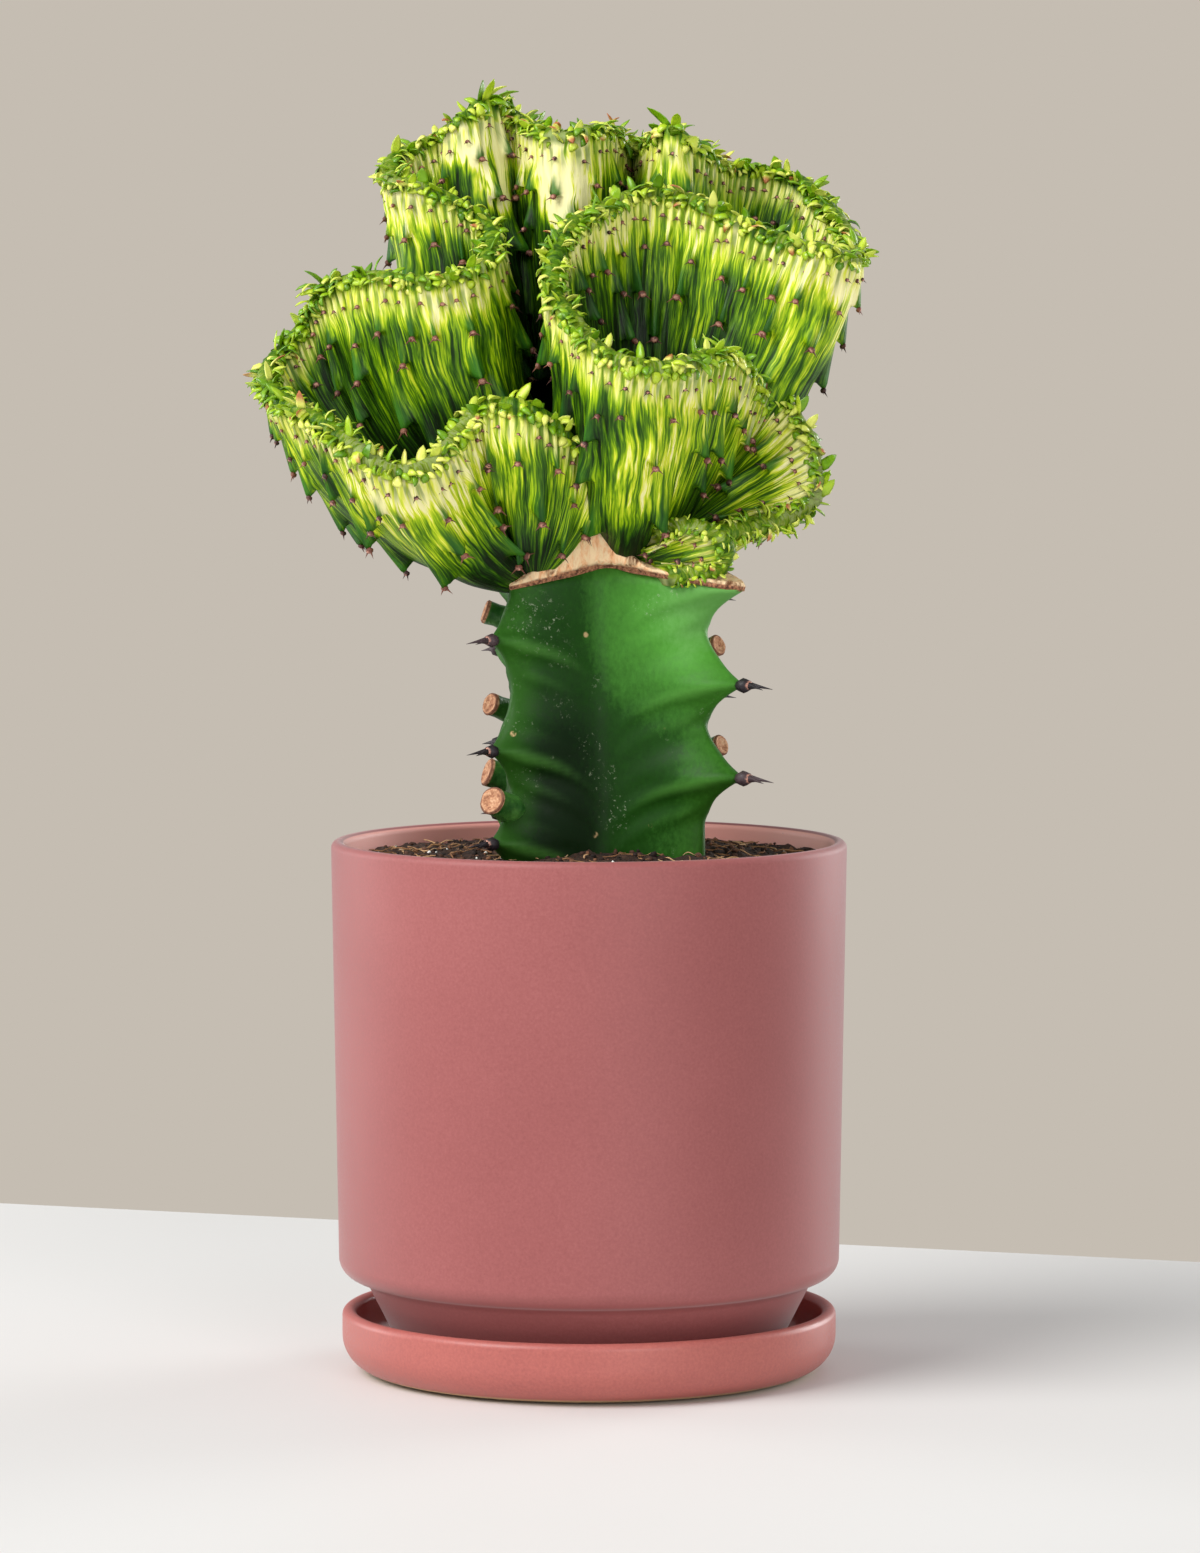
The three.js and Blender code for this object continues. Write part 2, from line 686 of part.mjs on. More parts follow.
// Four columns of facets as a closed solid, from the roofed rim down to the graft.
function panel(columns, first) {
  const points = [];
  const rows = columns[first].map((_, row) => {
    const stride = strideOf(row);
    const picked = [];
    for (let i = 0; i <= 4; i += stride) {
      const place = columns[first + i][row];
      picked.push([1, -1].map((side) => points.push(cornerOf(place, side)) - 1));
    }
    return picked;
  });
  const roof = [0, 1, 2, 3, 4].map((i) => {
    const { point, flow, normal } = columns[first + i][0];
    const top = point.clone().addScaledVector(flow, CREST.ridge);
    return [1, -1].map((side) => points.push(top.clone().addScaledVector(normal, side * CREST.roof)) - 1);
  });
  rows.unshift(roof);
  const triangles = [];
  for (let r = 0; r + 1 < rows.length; r++) {
    const [upper, lower] = [rows[r], rows[r + 1]];
    const split = (upper.length - 1) / (lower.length - 1);
    for (let k = 0; k + 1 < lower.length; k++) {
      const above = upper.slice(k * split, k * split + split + 1);
      facet(above, [lower[k], lower[k + 1]], triangles);
    }
    const [a, b] = [upper[0], lower[0]];
    triangles.push([a[0], a[1], b[1]], [a[0], b[1], b[0]]);
    const [c, d] = [upper.at(-1), lower.at(-1)];
    triangles.push([c[0], d[1], c[1]], [c[0], d[0], d[1]]);
  }
  for (let i = 0; i < 4; i++) {
    const [a, b] = [roof[i], roof[i + 1]];
    triangles.push([a[0], b[1], a[1]], [a[0], b[0], b[1]]);
  }
  const [a, b] = rows.at(-1);
  triangles.push([a[0], a[1], b[1]], [a[0], b[1], b[0]]);
  return solidFrom(points, triangles);
}

// One facet on both sides: its lower edge, and an upper edge that may be split in two.
function facet(above, [left, right], triangles) {
  const split = [];
  if (above.length === 2) split.push([above[0], left, right], [above[0], right, above[1]]);
  else split.push([above[0], left, above[1]], [left, right, above[1]], [above[1], right, above[2]]);
  for (const [p, q, r] of split) triangles.push([p[0], q[0], r[0]], [p[1], r[1], q[1]]);
}

function sheetPanels(columns) {
  const panels = [];
  for (let first = 0; first + 4 < columns.length; first += 4) panels.push(panel(columns, first));
  return panels;
}

// Leaflets that crowd the rim, leaning to either side in turn.
function leaflets(sheet, random) {
  const count = Math.round(sheet.rim.getLength() / LEAFLET.pitch);
  return Array.from({ length: count }, (_, i) => {
    const t = sheet.rim.getUtoTmapping((i + 0.5) / count);
    const { point, flow, normal, along } = surface(sheet, t, 1);
    const lean = (i % 2 ? 1 : -1) * (LEAFLET.lean + LEAFLET.leanRange * random());
    const root = point.clone().addScaledVector(flow, -LEAFLET.sunk);
    const corners = [[LEAFLET.half, 0], [0, LEAFLET.depth], [-LEAFLET.half, 0], [0, -LEAFLET.depth]];
    const tip = root
      .clone()
      .addScaledVector(flow, LEAFLET.length * (0.8 + 0.35 * random()))
      .addScaledVector(normal, lean * LEAFLET.length)
      .addScaledVector(along, (random() - 0.5) * LEAFLET.sway);
    return spike(
      corners.map(([a, b]) => root.clone().addScaledVector(along, a).addScaledVector(normal, b)),
      tip,
    );
  });
}

// Spines at the tips of some of the tubercles.
function spines(columns, random) {
  const pieces = [];
  const placed = columns.flatMap((column, i) => column.filter((_, row) => i % strideOf(row) === 0));
  for (const place of placed) {
    [1, -1].forEach((side, k) => {
      if (!place.stand[k] || random() > TUBERCLE.spined) return;
      const outward = place.normal.clone().multiplyScalar(side);
      const lean = outward.addScaledVector(place.flow, -TUBERCLE.needleDroop).normalize();
      const root = cornerOf(place, side).addScaledVector(lean, -TUBERCLE.needleSunk);
      pieces.push(needle(root, lean, TUBERCLE.needleRoot, TUBERCLE.needle + TUBERCLE.needleSunk));
    });
  }
  return pieces;
}

// The solid heart that the folds grow out of.
function crestCore() {
  const { x, y, radius, waist, flat, low, high } = CORE;
  const sides = 16;
  const levels = [[0, radius], [0.35, waist], [0.7, waist * 0.8], [0.92, waist * 0.4]];
  const rings = levels.map(([share, size]) =>
    Array.from({ length: sides }, (_, i) => {
      const turn = (2 * Math.PI * i) / sides;
      return v3(x + size * Math.cos(turn), y + size * flat * Math.sin(turn), low + (high - low) * share);
    }),
  );
  return lofted(rings, v3(x, y, low), v3(x, y, high));
}

function crest() {
  const random = seededRandom(59);
  const pieces = [crestCore()];
  for (const sheet of SHEETS.map(sheetFrom)) {
    const columns = sheetColumns(sheet);
    pieces.push(...sheetPanels(columns), ...leaflets(sheet, random), ...spines(columns, random));
  }
  return Manifold.union(pieces).subtract(callusBody(FIT)).subtract(stockBody(FIT));
}

const plant = new THREE.Group();
plant.add(part("rootstock", geometryOf(rootstock())));
plant.add(part("graft_callus", geometryOf(callusBody(0).subtract(stockBody(FIT)))));
plant.add(part("crest", geometryOf(crest())));

const object = new THREE.Group();
object.add(part("saucer", saucer()));
object.add(part("pot", pot()));
object.add(part("soil", geometryOf(soil())));
object.add(plant);

export default object;
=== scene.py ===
import math
from functools import reduce
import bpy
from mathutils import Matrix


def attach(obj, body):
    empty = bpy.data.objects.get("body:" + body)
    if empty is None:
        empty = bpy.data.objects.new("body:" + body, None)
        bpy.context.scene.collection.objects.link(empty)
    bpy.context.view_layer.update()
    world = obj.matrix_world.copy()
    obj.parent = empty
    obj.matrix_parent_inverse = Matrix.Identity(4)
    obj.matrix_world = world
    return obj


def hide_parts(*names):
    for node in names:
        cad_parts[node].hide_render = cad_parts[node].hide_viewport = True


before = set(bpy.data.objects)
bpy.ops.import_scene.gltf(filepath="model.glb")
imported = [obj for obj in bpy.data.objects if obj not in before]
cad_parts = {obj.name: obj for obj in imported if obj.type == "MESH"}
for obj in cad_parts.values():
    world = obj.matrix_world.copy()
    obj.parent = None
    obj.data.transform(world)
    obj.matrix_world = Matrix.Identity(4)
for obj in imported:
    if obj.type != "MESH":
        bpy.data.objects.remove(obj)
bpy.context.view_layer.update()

from types import SimpleNamespace as Sizes

import bmesh
import bpy
import numpy as np
from mathutils import Vector

# A potted mermaid tail cactus. The frame is in metres; plant measures are written in millimetres.
MM = 0.001
CENTIMETRES = 100  # in a metre: what the crest's shader counts in
BODY = "root"

# The photograph's view: straight from the front, from a little above the rim of the pot
IMAGE_HEIGHT = 1553  # in pixels
PHOTO_SCALE = 0.252 * MM  # one pixel of the photograph at the pot's axis
CAMERA = Vector((2.772, -1667.0, 277.5)) * MM
TARGET = Vector((2.772, 0.0, 150.5)) * MM
SENSOR = 36.0

# Crest, as in the CAD model: each stretch of the rim with the place on the graft that its flow lines
# rise from and how much, in degrees, they leave it flatter than their chord and reach the rim steeper
CREST_RIM = [
    ((-12, -20.5, 203.5), (25, 25), [(3, -25, 225), (-2, -31, 233), (-8, -36, 240), (-15, -39, 244)]),
    ((-14, -19.5, 203), (36, 36), [(-22, -37, 245), (-28, -35, 243), (-32, -39, 238), (-37, -47, 232)]),
    ((-17, -16, 202), (38, 38), [
        (-43, -51, 229), (-50, -51, 230), (-56, -48, 234), (-63, -43, 239), (-70, -36, 243), (-76, -27, 246),
    ]),
    ((-19, -8, 204), (40, 40), [
        (-80, -15, 250), (-80, -4, 254), (-76, 3, 259), (-71, 6, 265), (-67, 3, 272), (-60, -5, 275),
    ]),
    ((-15, -2, 207), (38, 38), [
        (-52, -11, 276), (-45, -14, 275), (-37, -15, 275), (-30, -14, 277), (-25, -9, 281),
    ]),
    ((-9, 2, 209), (25, 25), [(-24, -1, 285), (-26, 5, 290), (-32, 8, 294)]),
    ((-10, 5, 209), (35, 35), [(-38, 8, 297), (-44, 9, 299), (-49, 14, 300)]),
    ((-9, 10, 208), (35, 35), [
        (-50, 22, 305), (-46, 28, 308), (-39, 31, 311), (-32, 27, 316), (-27, 31, 320), (-22, 39, 319),
    ]),
    ((-2, 12, 207), (30, 30), [
        (-16, 34, 315), (-10, 22, 312), (-5, 19, 311), (1, 25, 313), (5, 37, 313), (8, 47, 309),
    ]),
    ((6, 14, 207), (25, 25), [
        (12, 51, 308), (15, 44, 309), (18, 32, 311), (21, 22, 313), (25, 22, 310), (30, 31, 306),
    ]),
    ((11, 12, 207), (6, 30), [
        (36, 42, 304), (45, 47, 303), (53, 44, 301), (57, 36, 298), (62, 25, 292), (66, 12, 286),
    ]),
    ((18, 5, 206), (5, 35), [
        (67, 1, 282), (64, -8, 281), (58, -11, 283), (52, -8, 284), (44, -4, 287), (37, -1, 290),
    ]),
    ((13, 0, 207), (30, 30), [
        (29, 3, 294), (22, 6, 296), (14, 6, 297), (7, 2, 295), (2, -5, 292), (-4, -14, 289),
    ]),
    ((6, -6, 209), (35, 35), [
        (-7, -23, 284), (-9, -30, 278), (-8, -35, 271), (-4, -40, 266), (0, -44, 261), (5, -47, 257),
    ]),
    ((9, -15, 206), (38, 38), [
        (11, -49, 255), (17, -48, 254), (24, -44, 255), (30, -37, 257), (35, -29, 257), (39, -20, 253),
        (41, -12, 249),
    ]),
    ((14, -13, 205), (10, 10), [(44, -6, 245), (49, -4, 245), (53, -8, 239), (56, -12, 234), (57, -15, 228)]),
    ((17, -17, 205), (0, 0), [
        (57, -18, 222), (52, -20, 218), (47, -22, 216), (40, -24, 214), (34, -26, 213),
    ]),
    ((17, -22, 204), (-5, -5), [(28, -27, 211)]),
]
SIDE_FAN = [
    ((9, -19, 209), (0, 0), [(17, -28, 212), (21, -31, 214), (26, -33, 215), (31, -34, 213)]),
    ((13, -20, 205), (0, 0), [(34, -34, 210), (34, -33, 207), (32, -32, 204), (27, -31, 203)]),
    ((11, -17, 202), (0, 0), [(20, -29, 202)]),
]
BACK_FRILL = [
    ((-14, 8, 205), (40, 40), [
        (-40, 14, 225), (-50, 24, 234), (-53, 36, 240), (-45, 46, 242), (-33, 50, 237), (-20, 50, 233),
    ]),
    ((-2, 14, 205), (40, 40), [
        (-8, 54, 237), (4, 61, 245), (18, 62, 249), (30, 54, 244), (37, 42, 236), (36, 28, 228),
    ]),
    ((12, 12, 205), (40, 40), [(30, 18, 221)]),
]
RIM_THICK = 4.4  # thickness of a sheet just below its rim
RIM_ROUND = 1.8  # how far the rounded rim stands above the sheet's upper edge
RIM_SHOULDER = Sizes(width=0.72, rise=0.7)  # the rim's rounding, as shares of its thickness and height
THINNEST = 0.4  # least distance from a sheet's middle to its face
HANDLE = 0.38  # length of a flow line's Bezier handles, as a share of its chord
FOLD_SHARE = 0.55  # most that a face closes up on the inside of a fold

# The fine mesh: columns to a pleat, rows as how many, how far apart and every how many columns, and
# the samples that distances along the rim and along a flow line are measured on
PLEAT = 2.6
COLUMNS = 4
ROW_ZONES = [(18, 1.2, 1), (28, 1.7, 2), (15, 3.4, 4)]
RIM_SAMPLES, LINE_SAMPLES = 6001, 81

# Pleats run down from the rim, the shortest and the longest so far. Flutes: weight, width, length, seed
PLEAT_HEIGHT = 0.5
PLEAT_REACH = (6, 15)
FLUTE_HEIGHT = 1.0
FLUTES = [(1.3, 8.5, 40, 5), (0.7, 3.1, 26, 9)]

# Rows of tubercles on both faces: distance from the rim, spacing, height, half width, length above
TUBERCLE_ROWS = [
    (5.2, 4.2, 0.9, 1.2, 3.5),
    (12.0, 8.0, 2.8, 1.9, 8),
    (22.0, 13.0, 4.2, 2.5, 11),
    (34.0, 16.5, 5.0, 3.0, 12),
    (48.0, 17.0, 5.2, 3.4, 13),
    (64.0, 20.0, 5.0, 3.8, 14),
]
DROOP = 0.75  # how far a tubercle hangs down the flow, as a share of its height
TUBERCLE_BLUNT = 0.87  # where its tip is cut blunt, as a share of its height
TUBERCLE_UNDER = 0.16  # length of its underside, as a share of its length above
TUBERCLE_GREEN = 2.6  # height from which its tip is wholly green
TUBERCLE_COVERS = (60, 16, 10)  # most columns to each side, rows above and rows below that it covers

# Longer leaflets stand in tufts: middle, reach and how much longer they are there
TUFTS = [
    ((-26, 31, 320), 7, 0.9),
    ((-18, 38, 316), 7, 0.6),
    ((6, 42, 311), 7, 0.5),
    ((23, 22, 312), 7, 0.9),
    ((-66, 5, 271), 8, 0.8),
    ((50, -4, 246), 8, 0.2),
    ((-49, 16, 303), 7, 0.4),
]

# Leaflets: sizes, scale on the smaller sheets, how far they turn and lean out over the rim, bend, cup
# and taper, how much each may differ, and the lanes, steps and section that they are made of
LEAFLET = Sizes(pitch=0.35, length=4.8, half=1.25, thick=0.28, sunk=0.5)
LEAFLET_SCALE = dict(crest_side_fan=0.5, crest_back_frill=0.9)
LEAFLET_FORM = Sizes(round=1.25, lean=0.8, bend=1.3, cup=0.35, taper=0.6)
LEAFLET_SPREAD = Sizes(place=0.3, lane=0.2, size=(0.65, 1.2), tuft=(0.3, 1.1), width=(0.75, 1.2),
                       sway=0.38, twist=0.7, curl=(1.9, 0.9))
LEAFLET_LANES = (-1.1, 0.9, 0, 1.25, -0.6, 0.4, -1.3)  # across the rim, whose edges are at -1 and 1
LEAFLET_STEPS = ((0, 0.7), (0.3, 1.0), (0.58, 0.9), (0.82, 0.6), (1.0, 0.1))  # share of length, of width
LEAFLET_SECTION = ((1, 0), (0.5, 0.8), (-0.5, 0.8), (-1, 0), (-0.45, -1), (0.45, -1))  # sideways, deep

# Shields with a pair of spines, on unit size. Shield rings: radius and height. Spines: where they
# start, which way they head (mirrored for the second), how they bend, and their steps and radii.
HORN_OVAL = (1.15, 0.95)
CREST_HORN = Sizes(rings=((0.8, -0.6), (1.05, -0.1), (0.9, 0.4), (0.45, 0.7)),
                   start=(0.55, 0.1, 0.1), heading=(0.75, 0.25, 0.62), bend=0.05,
                   steps=((0, 0.44), (0.8, 0.25), (1.6, 0.12), (2.3, 0.02)))
STEM_HORN = Sizes(rings=((0.9, -1.0), (1.3, -0.1), (1.1, 0.6), (0.65, 1.4)),
                  start=(0.12, 0.0, 0.6), heading=(0.24, 0.04, 0.97), bend=0.03,
                  steps=((0, 0.8), (1.0, 0.55), (2.3, 0.26), (4.3, 0.03)))
HORN_TONES = Sizes(shield=(0.2, 0.3, 0.55, 1.0), spine=0.1)  # how worn each ring of a shield is, and a spine
# The shields as studs on the crest and as thorns on the stem
STUD = Sizes(least=0.56, growth=0.2, most=0.9, tall=(0.8, 1.25), tilt=0.3, scatter=0.15, sunk=0.35)
THORN = Sizes(size=1.5, spread=(0.9, 1.1), sunk=0.9, tilt=0.05)

# The heart that the folds grow out of, with its radius at shares of its height
CORE = Sizes(x=-1, y=-1, low=204.6, high=238, flat=0.92, ribs=18, rib=0.05, around=72, levels=26)
CORE_RADII = ((0, 0.35, 0.7, 0.92, 1), (17, 19, 15.2, 7.6, 1))

# Pot and saucer: radii and heights above the saucer's underside
SAUCER = Sizes(outer=62.5, foot=49, height=16, floor=4, wall=3.6, heel=9, cove=5)
POT = Sizes(rim=65, low=63.3, height=134.5, shoulder=23.5, foot_top=56.5, foot_bottom=47, wall=3.6,
            floor=10, heel=5, cove=6, recess=2, drain=6)
EDGE = 0.4  # rounding of the foot's edges
ROUND_STEPS = 192  # faces around the pot and the saucer

# Potting mix: its lumps as seed, height and width, its bits as size from and to and how flat they are,
# then how rare the large ones are, how narrow and uneven they are, and how high they lie
SOIL = Sizes(level=129.8, mound=3.4, spread=38, gap=0.4, edge=122, around=220, rings=62)
LUMPS = [(31, 1.5, 4.2), (32, 1.1, 1.9), (33, 0.6, 0.9)]
BARK = dict(count=2400, seed=51, size=(0.3, 1.15), flat=(0.35, 0.8))
PERLITE = dict(count=60, seed=52, size=(0.3, 0.8), flat=(0.6, 0.95))
CRUMB = Sizes(rare=2.2, narrow=(0.5, 0.95), uneven=(-0.28, 0.22), lift=0.25)
FIBRES = Sizes(count=220, seed=61, area=60, reach=57, length=(2.5, 8), radius=(0.1, 0.28), lift=0.4)

# Rootstock, with its ridges: direction in degrees, how far the teeth stand out, their heights, the
# cut side shoots as height, direction and size, and how many degrees aside the spines stand
STOCK = Sizes(x=4.2, y=-1, sole=78, ground=129, corner=199.5, crown=205.5, arch=0.85, ridge=33.5, face=18.5)
RIDGES = [
    Sizes(turn=226, reach=8, teeth=(186.5, 159, 136), stubs=((145, 236, 0.95),), spines_aside=0),
    Sizes(turn=317, reach=14, teeth=(199, 175.5, 152.5), stubs=(), spines_aside=0),
    Sizes(turn=46, reach=7, teeth=(194, 169, 147),
          stubs=((180.5, -38, 0.75), (155, -38, 0.75)), spines_aside=0),
    Sizes(turn=134, reach=7, teeth=(198, 181, 157, 139),
          stubs=((189, 186, 0.85), (165.5, 218, 0.8), (148, 196, 1)), spines_aside=-22),
]
TOOTH = Sizes(above=16, below=12, power=2, narrow=2.2)
HALF_FACE = 45  # degrees from a ridge to the middle of its face
FACE_REACH = 30  # the same in millimetres along the face
RIDGE_POWER = 1.1  # how sharply a ridge stands out of its faces
RIDGE_ROUND = 1.1  # how far to each side, in degrees, a ridge's line is rounded
MESH_FROM = 120  # height from which the stem has a row every millimetre
MESH_TURNS = (0.9, 1.9, 3, 4.4, 6.2, 8.4, 11, 14, 17.5, 21.5, 26, 30.5, 35, 40)  # its columns beside a ridge
CREASE_STARTS = ((0, 1.0), (-7.5, 0.6), (6.5, 0.45))  # folds at each tooth: height above it, weight
CREASE = Sizes(rise=2.6, width=2.5, start=5, slope=0.25, steeper=0.008)
UNEVEN = Sizes(rise=0.5, height=9, turn=16, until=0.93)  # waves of the faces, up to so much of a ridge
SPINE_CUT_OFF = 2  # a tooth nearer than this to the cut top has lost its spines
STUB = Sizes(out=1, climb=0.35, uneven=0.1, around=24)  # a cut side shoot, rooted just outside its ridge
STUB_PROFILE = [  # distance out, radius, and how corky it is
    (-5, 4.3, 0), (-1.5, 4.0, 0), (2.8, 3.5, 0), (5.0, 3.6, 0.2), (5.8, 3.7, 1), (6.2, 3.2, 1),
    (6.1, 2.4, 0.75), (5.6, 1.5, 0.9), (5.7, 0.6, 0.6),
]

# Callus over the graft: its rings as share of the cut's radius, of the sill's height and of the peak's
CALLUS = Sizes(sill=2.0, peak=24, x=-2, y=-19, spread_x=8.5, spread_y=7, over=0.15, ragged=0.5,
               bulge=3.2, bulge_turn=272, bulge_width=0.42, rough=1.7, around=180)
CALLUS_LIP = [(1.0, -0.8, 0.0), (1.006, 0.0, 0.0), (1.008, 0.35, 0.02), (1.0, 0.75, 0.08)]
CALLUS_WALL = [(0.997, 1.0, 0.2), (0.993, 1.0, 0.45), (0.988, 1.0, 0.72), (0.98, 1.0, 0.92)]
CALLUS_TOP = [(share, 1.0, 1.0) for share in np.linspace(0.965, 0.03, 36)]

# Colours as a screen shows them: the crest from its palest to its deepest, the tips of its tubercles,
# the glazes of the pot and the saucer, and the room
CREAM, PALE, LIME = (255, 248, 184), (224, 230, 58), (154, 190, 8)
MIDGREEN, DEEP, SHADE = (86, 130, 2), (36, 76, 3), (10, 30, 2)
TIP_GREEN, TIP_SHADE = (58, 120, 26), (24, 70, 16)
ROSE = [(144, 78, 77), (154, 86, 85), (164, 95, 94)]
SAUCER_ROSE = [(164, 90, 85), (177, 99, 92), (188, 108, 98)]
BACKDROP, ROOM_LIGHT, ROOM_STRENGTH = (197, 189, 178), (212, 213, 215), 0.53

# Spots with how far they reach: almost white patches on the fold at the back, folds made lighter with
# painted light, scratches on the stem, and a gap in the callus painted dark as painted shade
PATCHES = [((-24, 27, 308), 12), ((-23, 26, 299), 10), ((-8, 16, 305), 10), ((-7, 16, 296), 11),
           ((-34, 24, 310), 8)]
# folds that lie in shade, made lighter with painted light
PAINTED_LIGHT_FOLDS = [((48, -12, 233), 34), ((18, -38, 222), 26), ((-44, -44, 224), 30), ((-50, 10, 288), 22),
               ((56, -6, 268), 24)]
SCRATCHES = [((-14, -22, 190), 11), ((-8, -20, 183), 7), ((0, -20, 160), 5), ((3, -20, 152), 5),
             ((7, -20, 143), 6)]
# a gap at the front of the callus, painted dark as painted shade
PAINTED_SHADE_GAP = (-6, -21, 220)

# In metres: painted light inside the pot near its rim, and where the glaze gives way to bare clay at the
# bottom edges
PAINTED_LIGHT_INSIDE = Sizes(radius=(0.0622, 0.0618), height=(0.12, 0.122))
BARE_CLAY = (0.0019, 0.0013)

# Stage, in metres: the floor's corners, whose back edge slants, and the lamps as place, size and watts
FLOOR = [(-3.0, -4.5, 0), (3.0, -4.5, 0), (3.0, -0.78, 0), (-3.0, 1.257, 0)]
LAMPS = dict(
    key=((-2.0, -1.35, 2.3), 2.4, 112),
    front=((0.9, -2.35, 0.75), 1.2, 18),
    strip_left=((-1.7, 0.9, 0.5), 1.0, 12),
    strip_right=((1.6, 1.3, 0.5), 1.2, 26),
)
LAMP_COLOUR = (1.0, 0.99, 0.98)
LAMP_TARGET = (0, 0, 0.18)


# Mesh helpers

def shown(name, data):
    """An object of the scene from its mesh, lamp or lens."""
    made = bpy.data.objects.new(name, data)
    bpy.context.scene.collection.objects.link(made)
    return made


def piece(name, points, triangles, material, slot, replaces=(), **facts):
    """A smooth-shaded piece of the plant or pot, from points in metres, with facts for its shader."""
    mesh = bpy.data.meshes.new(name)
    mesh.from_pydata(np.asarray(points).tolist(), [], np.asarray(triangles).tolist())
    mesh.polygons.foreach_set("use_smooth", [True] * len(mesh.polygons))
    for key, values in facts.items():
        values = np.asarray(values, dtype=np.float32)
        kind, field = ("FLOAT_VECTOR", "vector") if values.ndim == 2 else ("FLOAT", "value")
        mesh.attributes.new(key, kind, "POINT").data.foreach_set(field, values.ravel())
    mesh.materials.append(material)
    made = shown(name, mesh)
    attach(made, BODY)
    if replaces:
        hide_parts(*replaces)


def unit(vectors):
    return vectors / np.maximum(np.linalg.norm(vectors, axis=-1, keepdims=True), 1e-12)


def stacked(*values):
    """Values side by side on a new last axis, each spread to the shape that they share."""
    return np.stack(np.broadcast_arrays(*values), -1)


def turns(around):
    """Angles evenly round a full turn."""
    return np.linspace(0, 2 * math.pi, around, endpoint=False)


def circled(radius, turn, height, x=0, y=0):
    """Points on a circle round x, y, at turns in radians."""
    return stacked(x + radius * np.cos(turn), y + radius * np.sin(turn), height)


def passed_along(points):
    """Distance along a run of points, at each of them."""
    return np.concatenate([[0], np.cumsum(np.linalg.norm(np.diff(points, axis=0), axis=1))])


def smoothed(values, width):
    """Values averaged along the first axis, with a bell of that many steps."""
    reach = int(3 * width)
    weights = np.exp(-0.5 * (np.arange(-reach, reach + 1) / width) ** 2)
    weights /= weights.sum()
    padded = np.concatenate([np.repeat(values[:1], reach, 0), values, np.repeat(values[-1:], reach, 0)])
    return sum(weight * padded[i:i + len(values)] for i, weight in enumerate(weights))


def waves(seed, x, y):
    """Smooth random values from -0.5 to 0.5 over a plane, with features one unit across."""
    table = np.random.default_rng(seed).random((64, 64)) - 0.5
    x, y = np.broadcast_arrays(np.asarray(x, float), np.asarray(y, float))
    i, j = np.floor(x).astype(int), np.floor(y).astype(int)
    p, q = x - i, y - j
    p, q = p * p * (3 - 2 * p), q * q * (3 - 2 * q)
    near = table[i % 64, j % 64] * (1 - p) + table[(i + 1) % 64, j % 64] * p
    far = table[i % 64, (j + 1) % 64] * (1 - p) + table[(i + 1) % 64, (j + 1) % 64] * p
    return near * (1 - q) + far * q


def between(low, high, around):
    """Triangles between two rings of points, from the numbers of their first points."""
    i = np.arange(around)
    j = (i + 1) % around
    return np.concatenate([stacked(low + i, low + j, high + j), stacked(low + i, high + j, high + i)])


def lofted(rings, start=None, end=None):
    """Points and triangles through closed rings, counterclockwise seen from their end, with end points."""
    rings = np.asarray(rings)
    count, around = rings.shape[:2]
    first = rings[0].mean(0) if start is None else start
    last = rings[-1].mean(0) if end is None else end
    points = np.concatenate([rings.reshape(-1, 3), [first, last]])
    top = (count - 1) * around
    i = np.arange(around)
    j = (i + 1) % around
    triangles = [between(low, low + around, around) for low in range(0, top, around)]
    triangles += [stacked(count * around, j, i), stacked(count * around + 1, top + i, top + j)]
    return points, np.concatenate(triangles)


def turned(profile, around, closed=False):
    """A turned body from points (radius, height) in millimetres, from axis to axis or closed on itself."""
    radius, height = np.array(profile if closed else profile[1:-1]).T[:, :, None] * MM
    ends = [np.array([0, 0, profile[k][1]]) * MM for k in (0, -1)]
    points, triangles = lofted(circled(radius, turns(around), height), *ends)
    if not closed:
        return points, triangles
    seam = between((len(radius) - 1) * around, 0, around)
    return points[:-2], np.concatenate([triangles[:-2 * around], seam])


def arc(r, z, radius, start, end, steps):
    """Points of an arc in a turned profile, from one angle in degrees to another."""
    turn = np.radians(np.linspace(start, end, steps + 1))
    return [(r + radius * math.cos(a), z + radius * math.sin(a)) for a in turn]


def gathered(points, triangles):
    """Many small bodies of the same make as one: their points (bodies, points, 3) and triangles."""
    bodies, corners = points.shape[:2]
    shift = np.arange(bodies)[:, None, None] * corners
    return points.reshape(-1, 3), (triangles[None] + shift).reshape(-1, 3)


def scattered(name, bodies, triangles, material, slot, facts):
    """A piece of many small bodies of the same make, in millimetres, with a fact for each of their points."""
    points, triangles = gathered(np.array(bodies) * MM, triangles)
    piece(name, points, triangles, material, slot, grain=np.array(facts).reshape(-1, 3))


# Crest: sheets of flow lines that rise from the graft to a ruffled rim

def catmull(points, t):
    """A Catmull-Rom curve through points, at each t from 0 to 1 along their count."""
    padded = np.vstack([2 * points[0] - points[1], points, 2 * points[-1] - points[-2]])
    place = np.clip(t, 0, 1) * (len(points) - 1)
    k = np.minimum(place.astype(int), len(points) - 2)
    f = (place - k)[:, None]
    a, b, c, d = (padded[k + i] for i in range(4))
    return 0.5 * (2 * b + (c - a) * f + (2 * a - 5 * b + 4 * c - d) * f**2 + (3 * b - a - 3 * c + d) * f**3)


def bezier(lines, s):
    """Points and unit directions of cubic Bezier lines (lines, 4, 3), at s (lines, places)."""
    a, b, c, d = (lines[:, None, i] for i in range(4))
    s = s[..., None]
    r = 1 - s
    points = r**3 * a + 3 * r * r * s * b + 3 * r * s * s * c + s**3 * d
    return points, unit(r * r * (b - a) + 2 * r * s * (c - b) + s * s * (d - c))


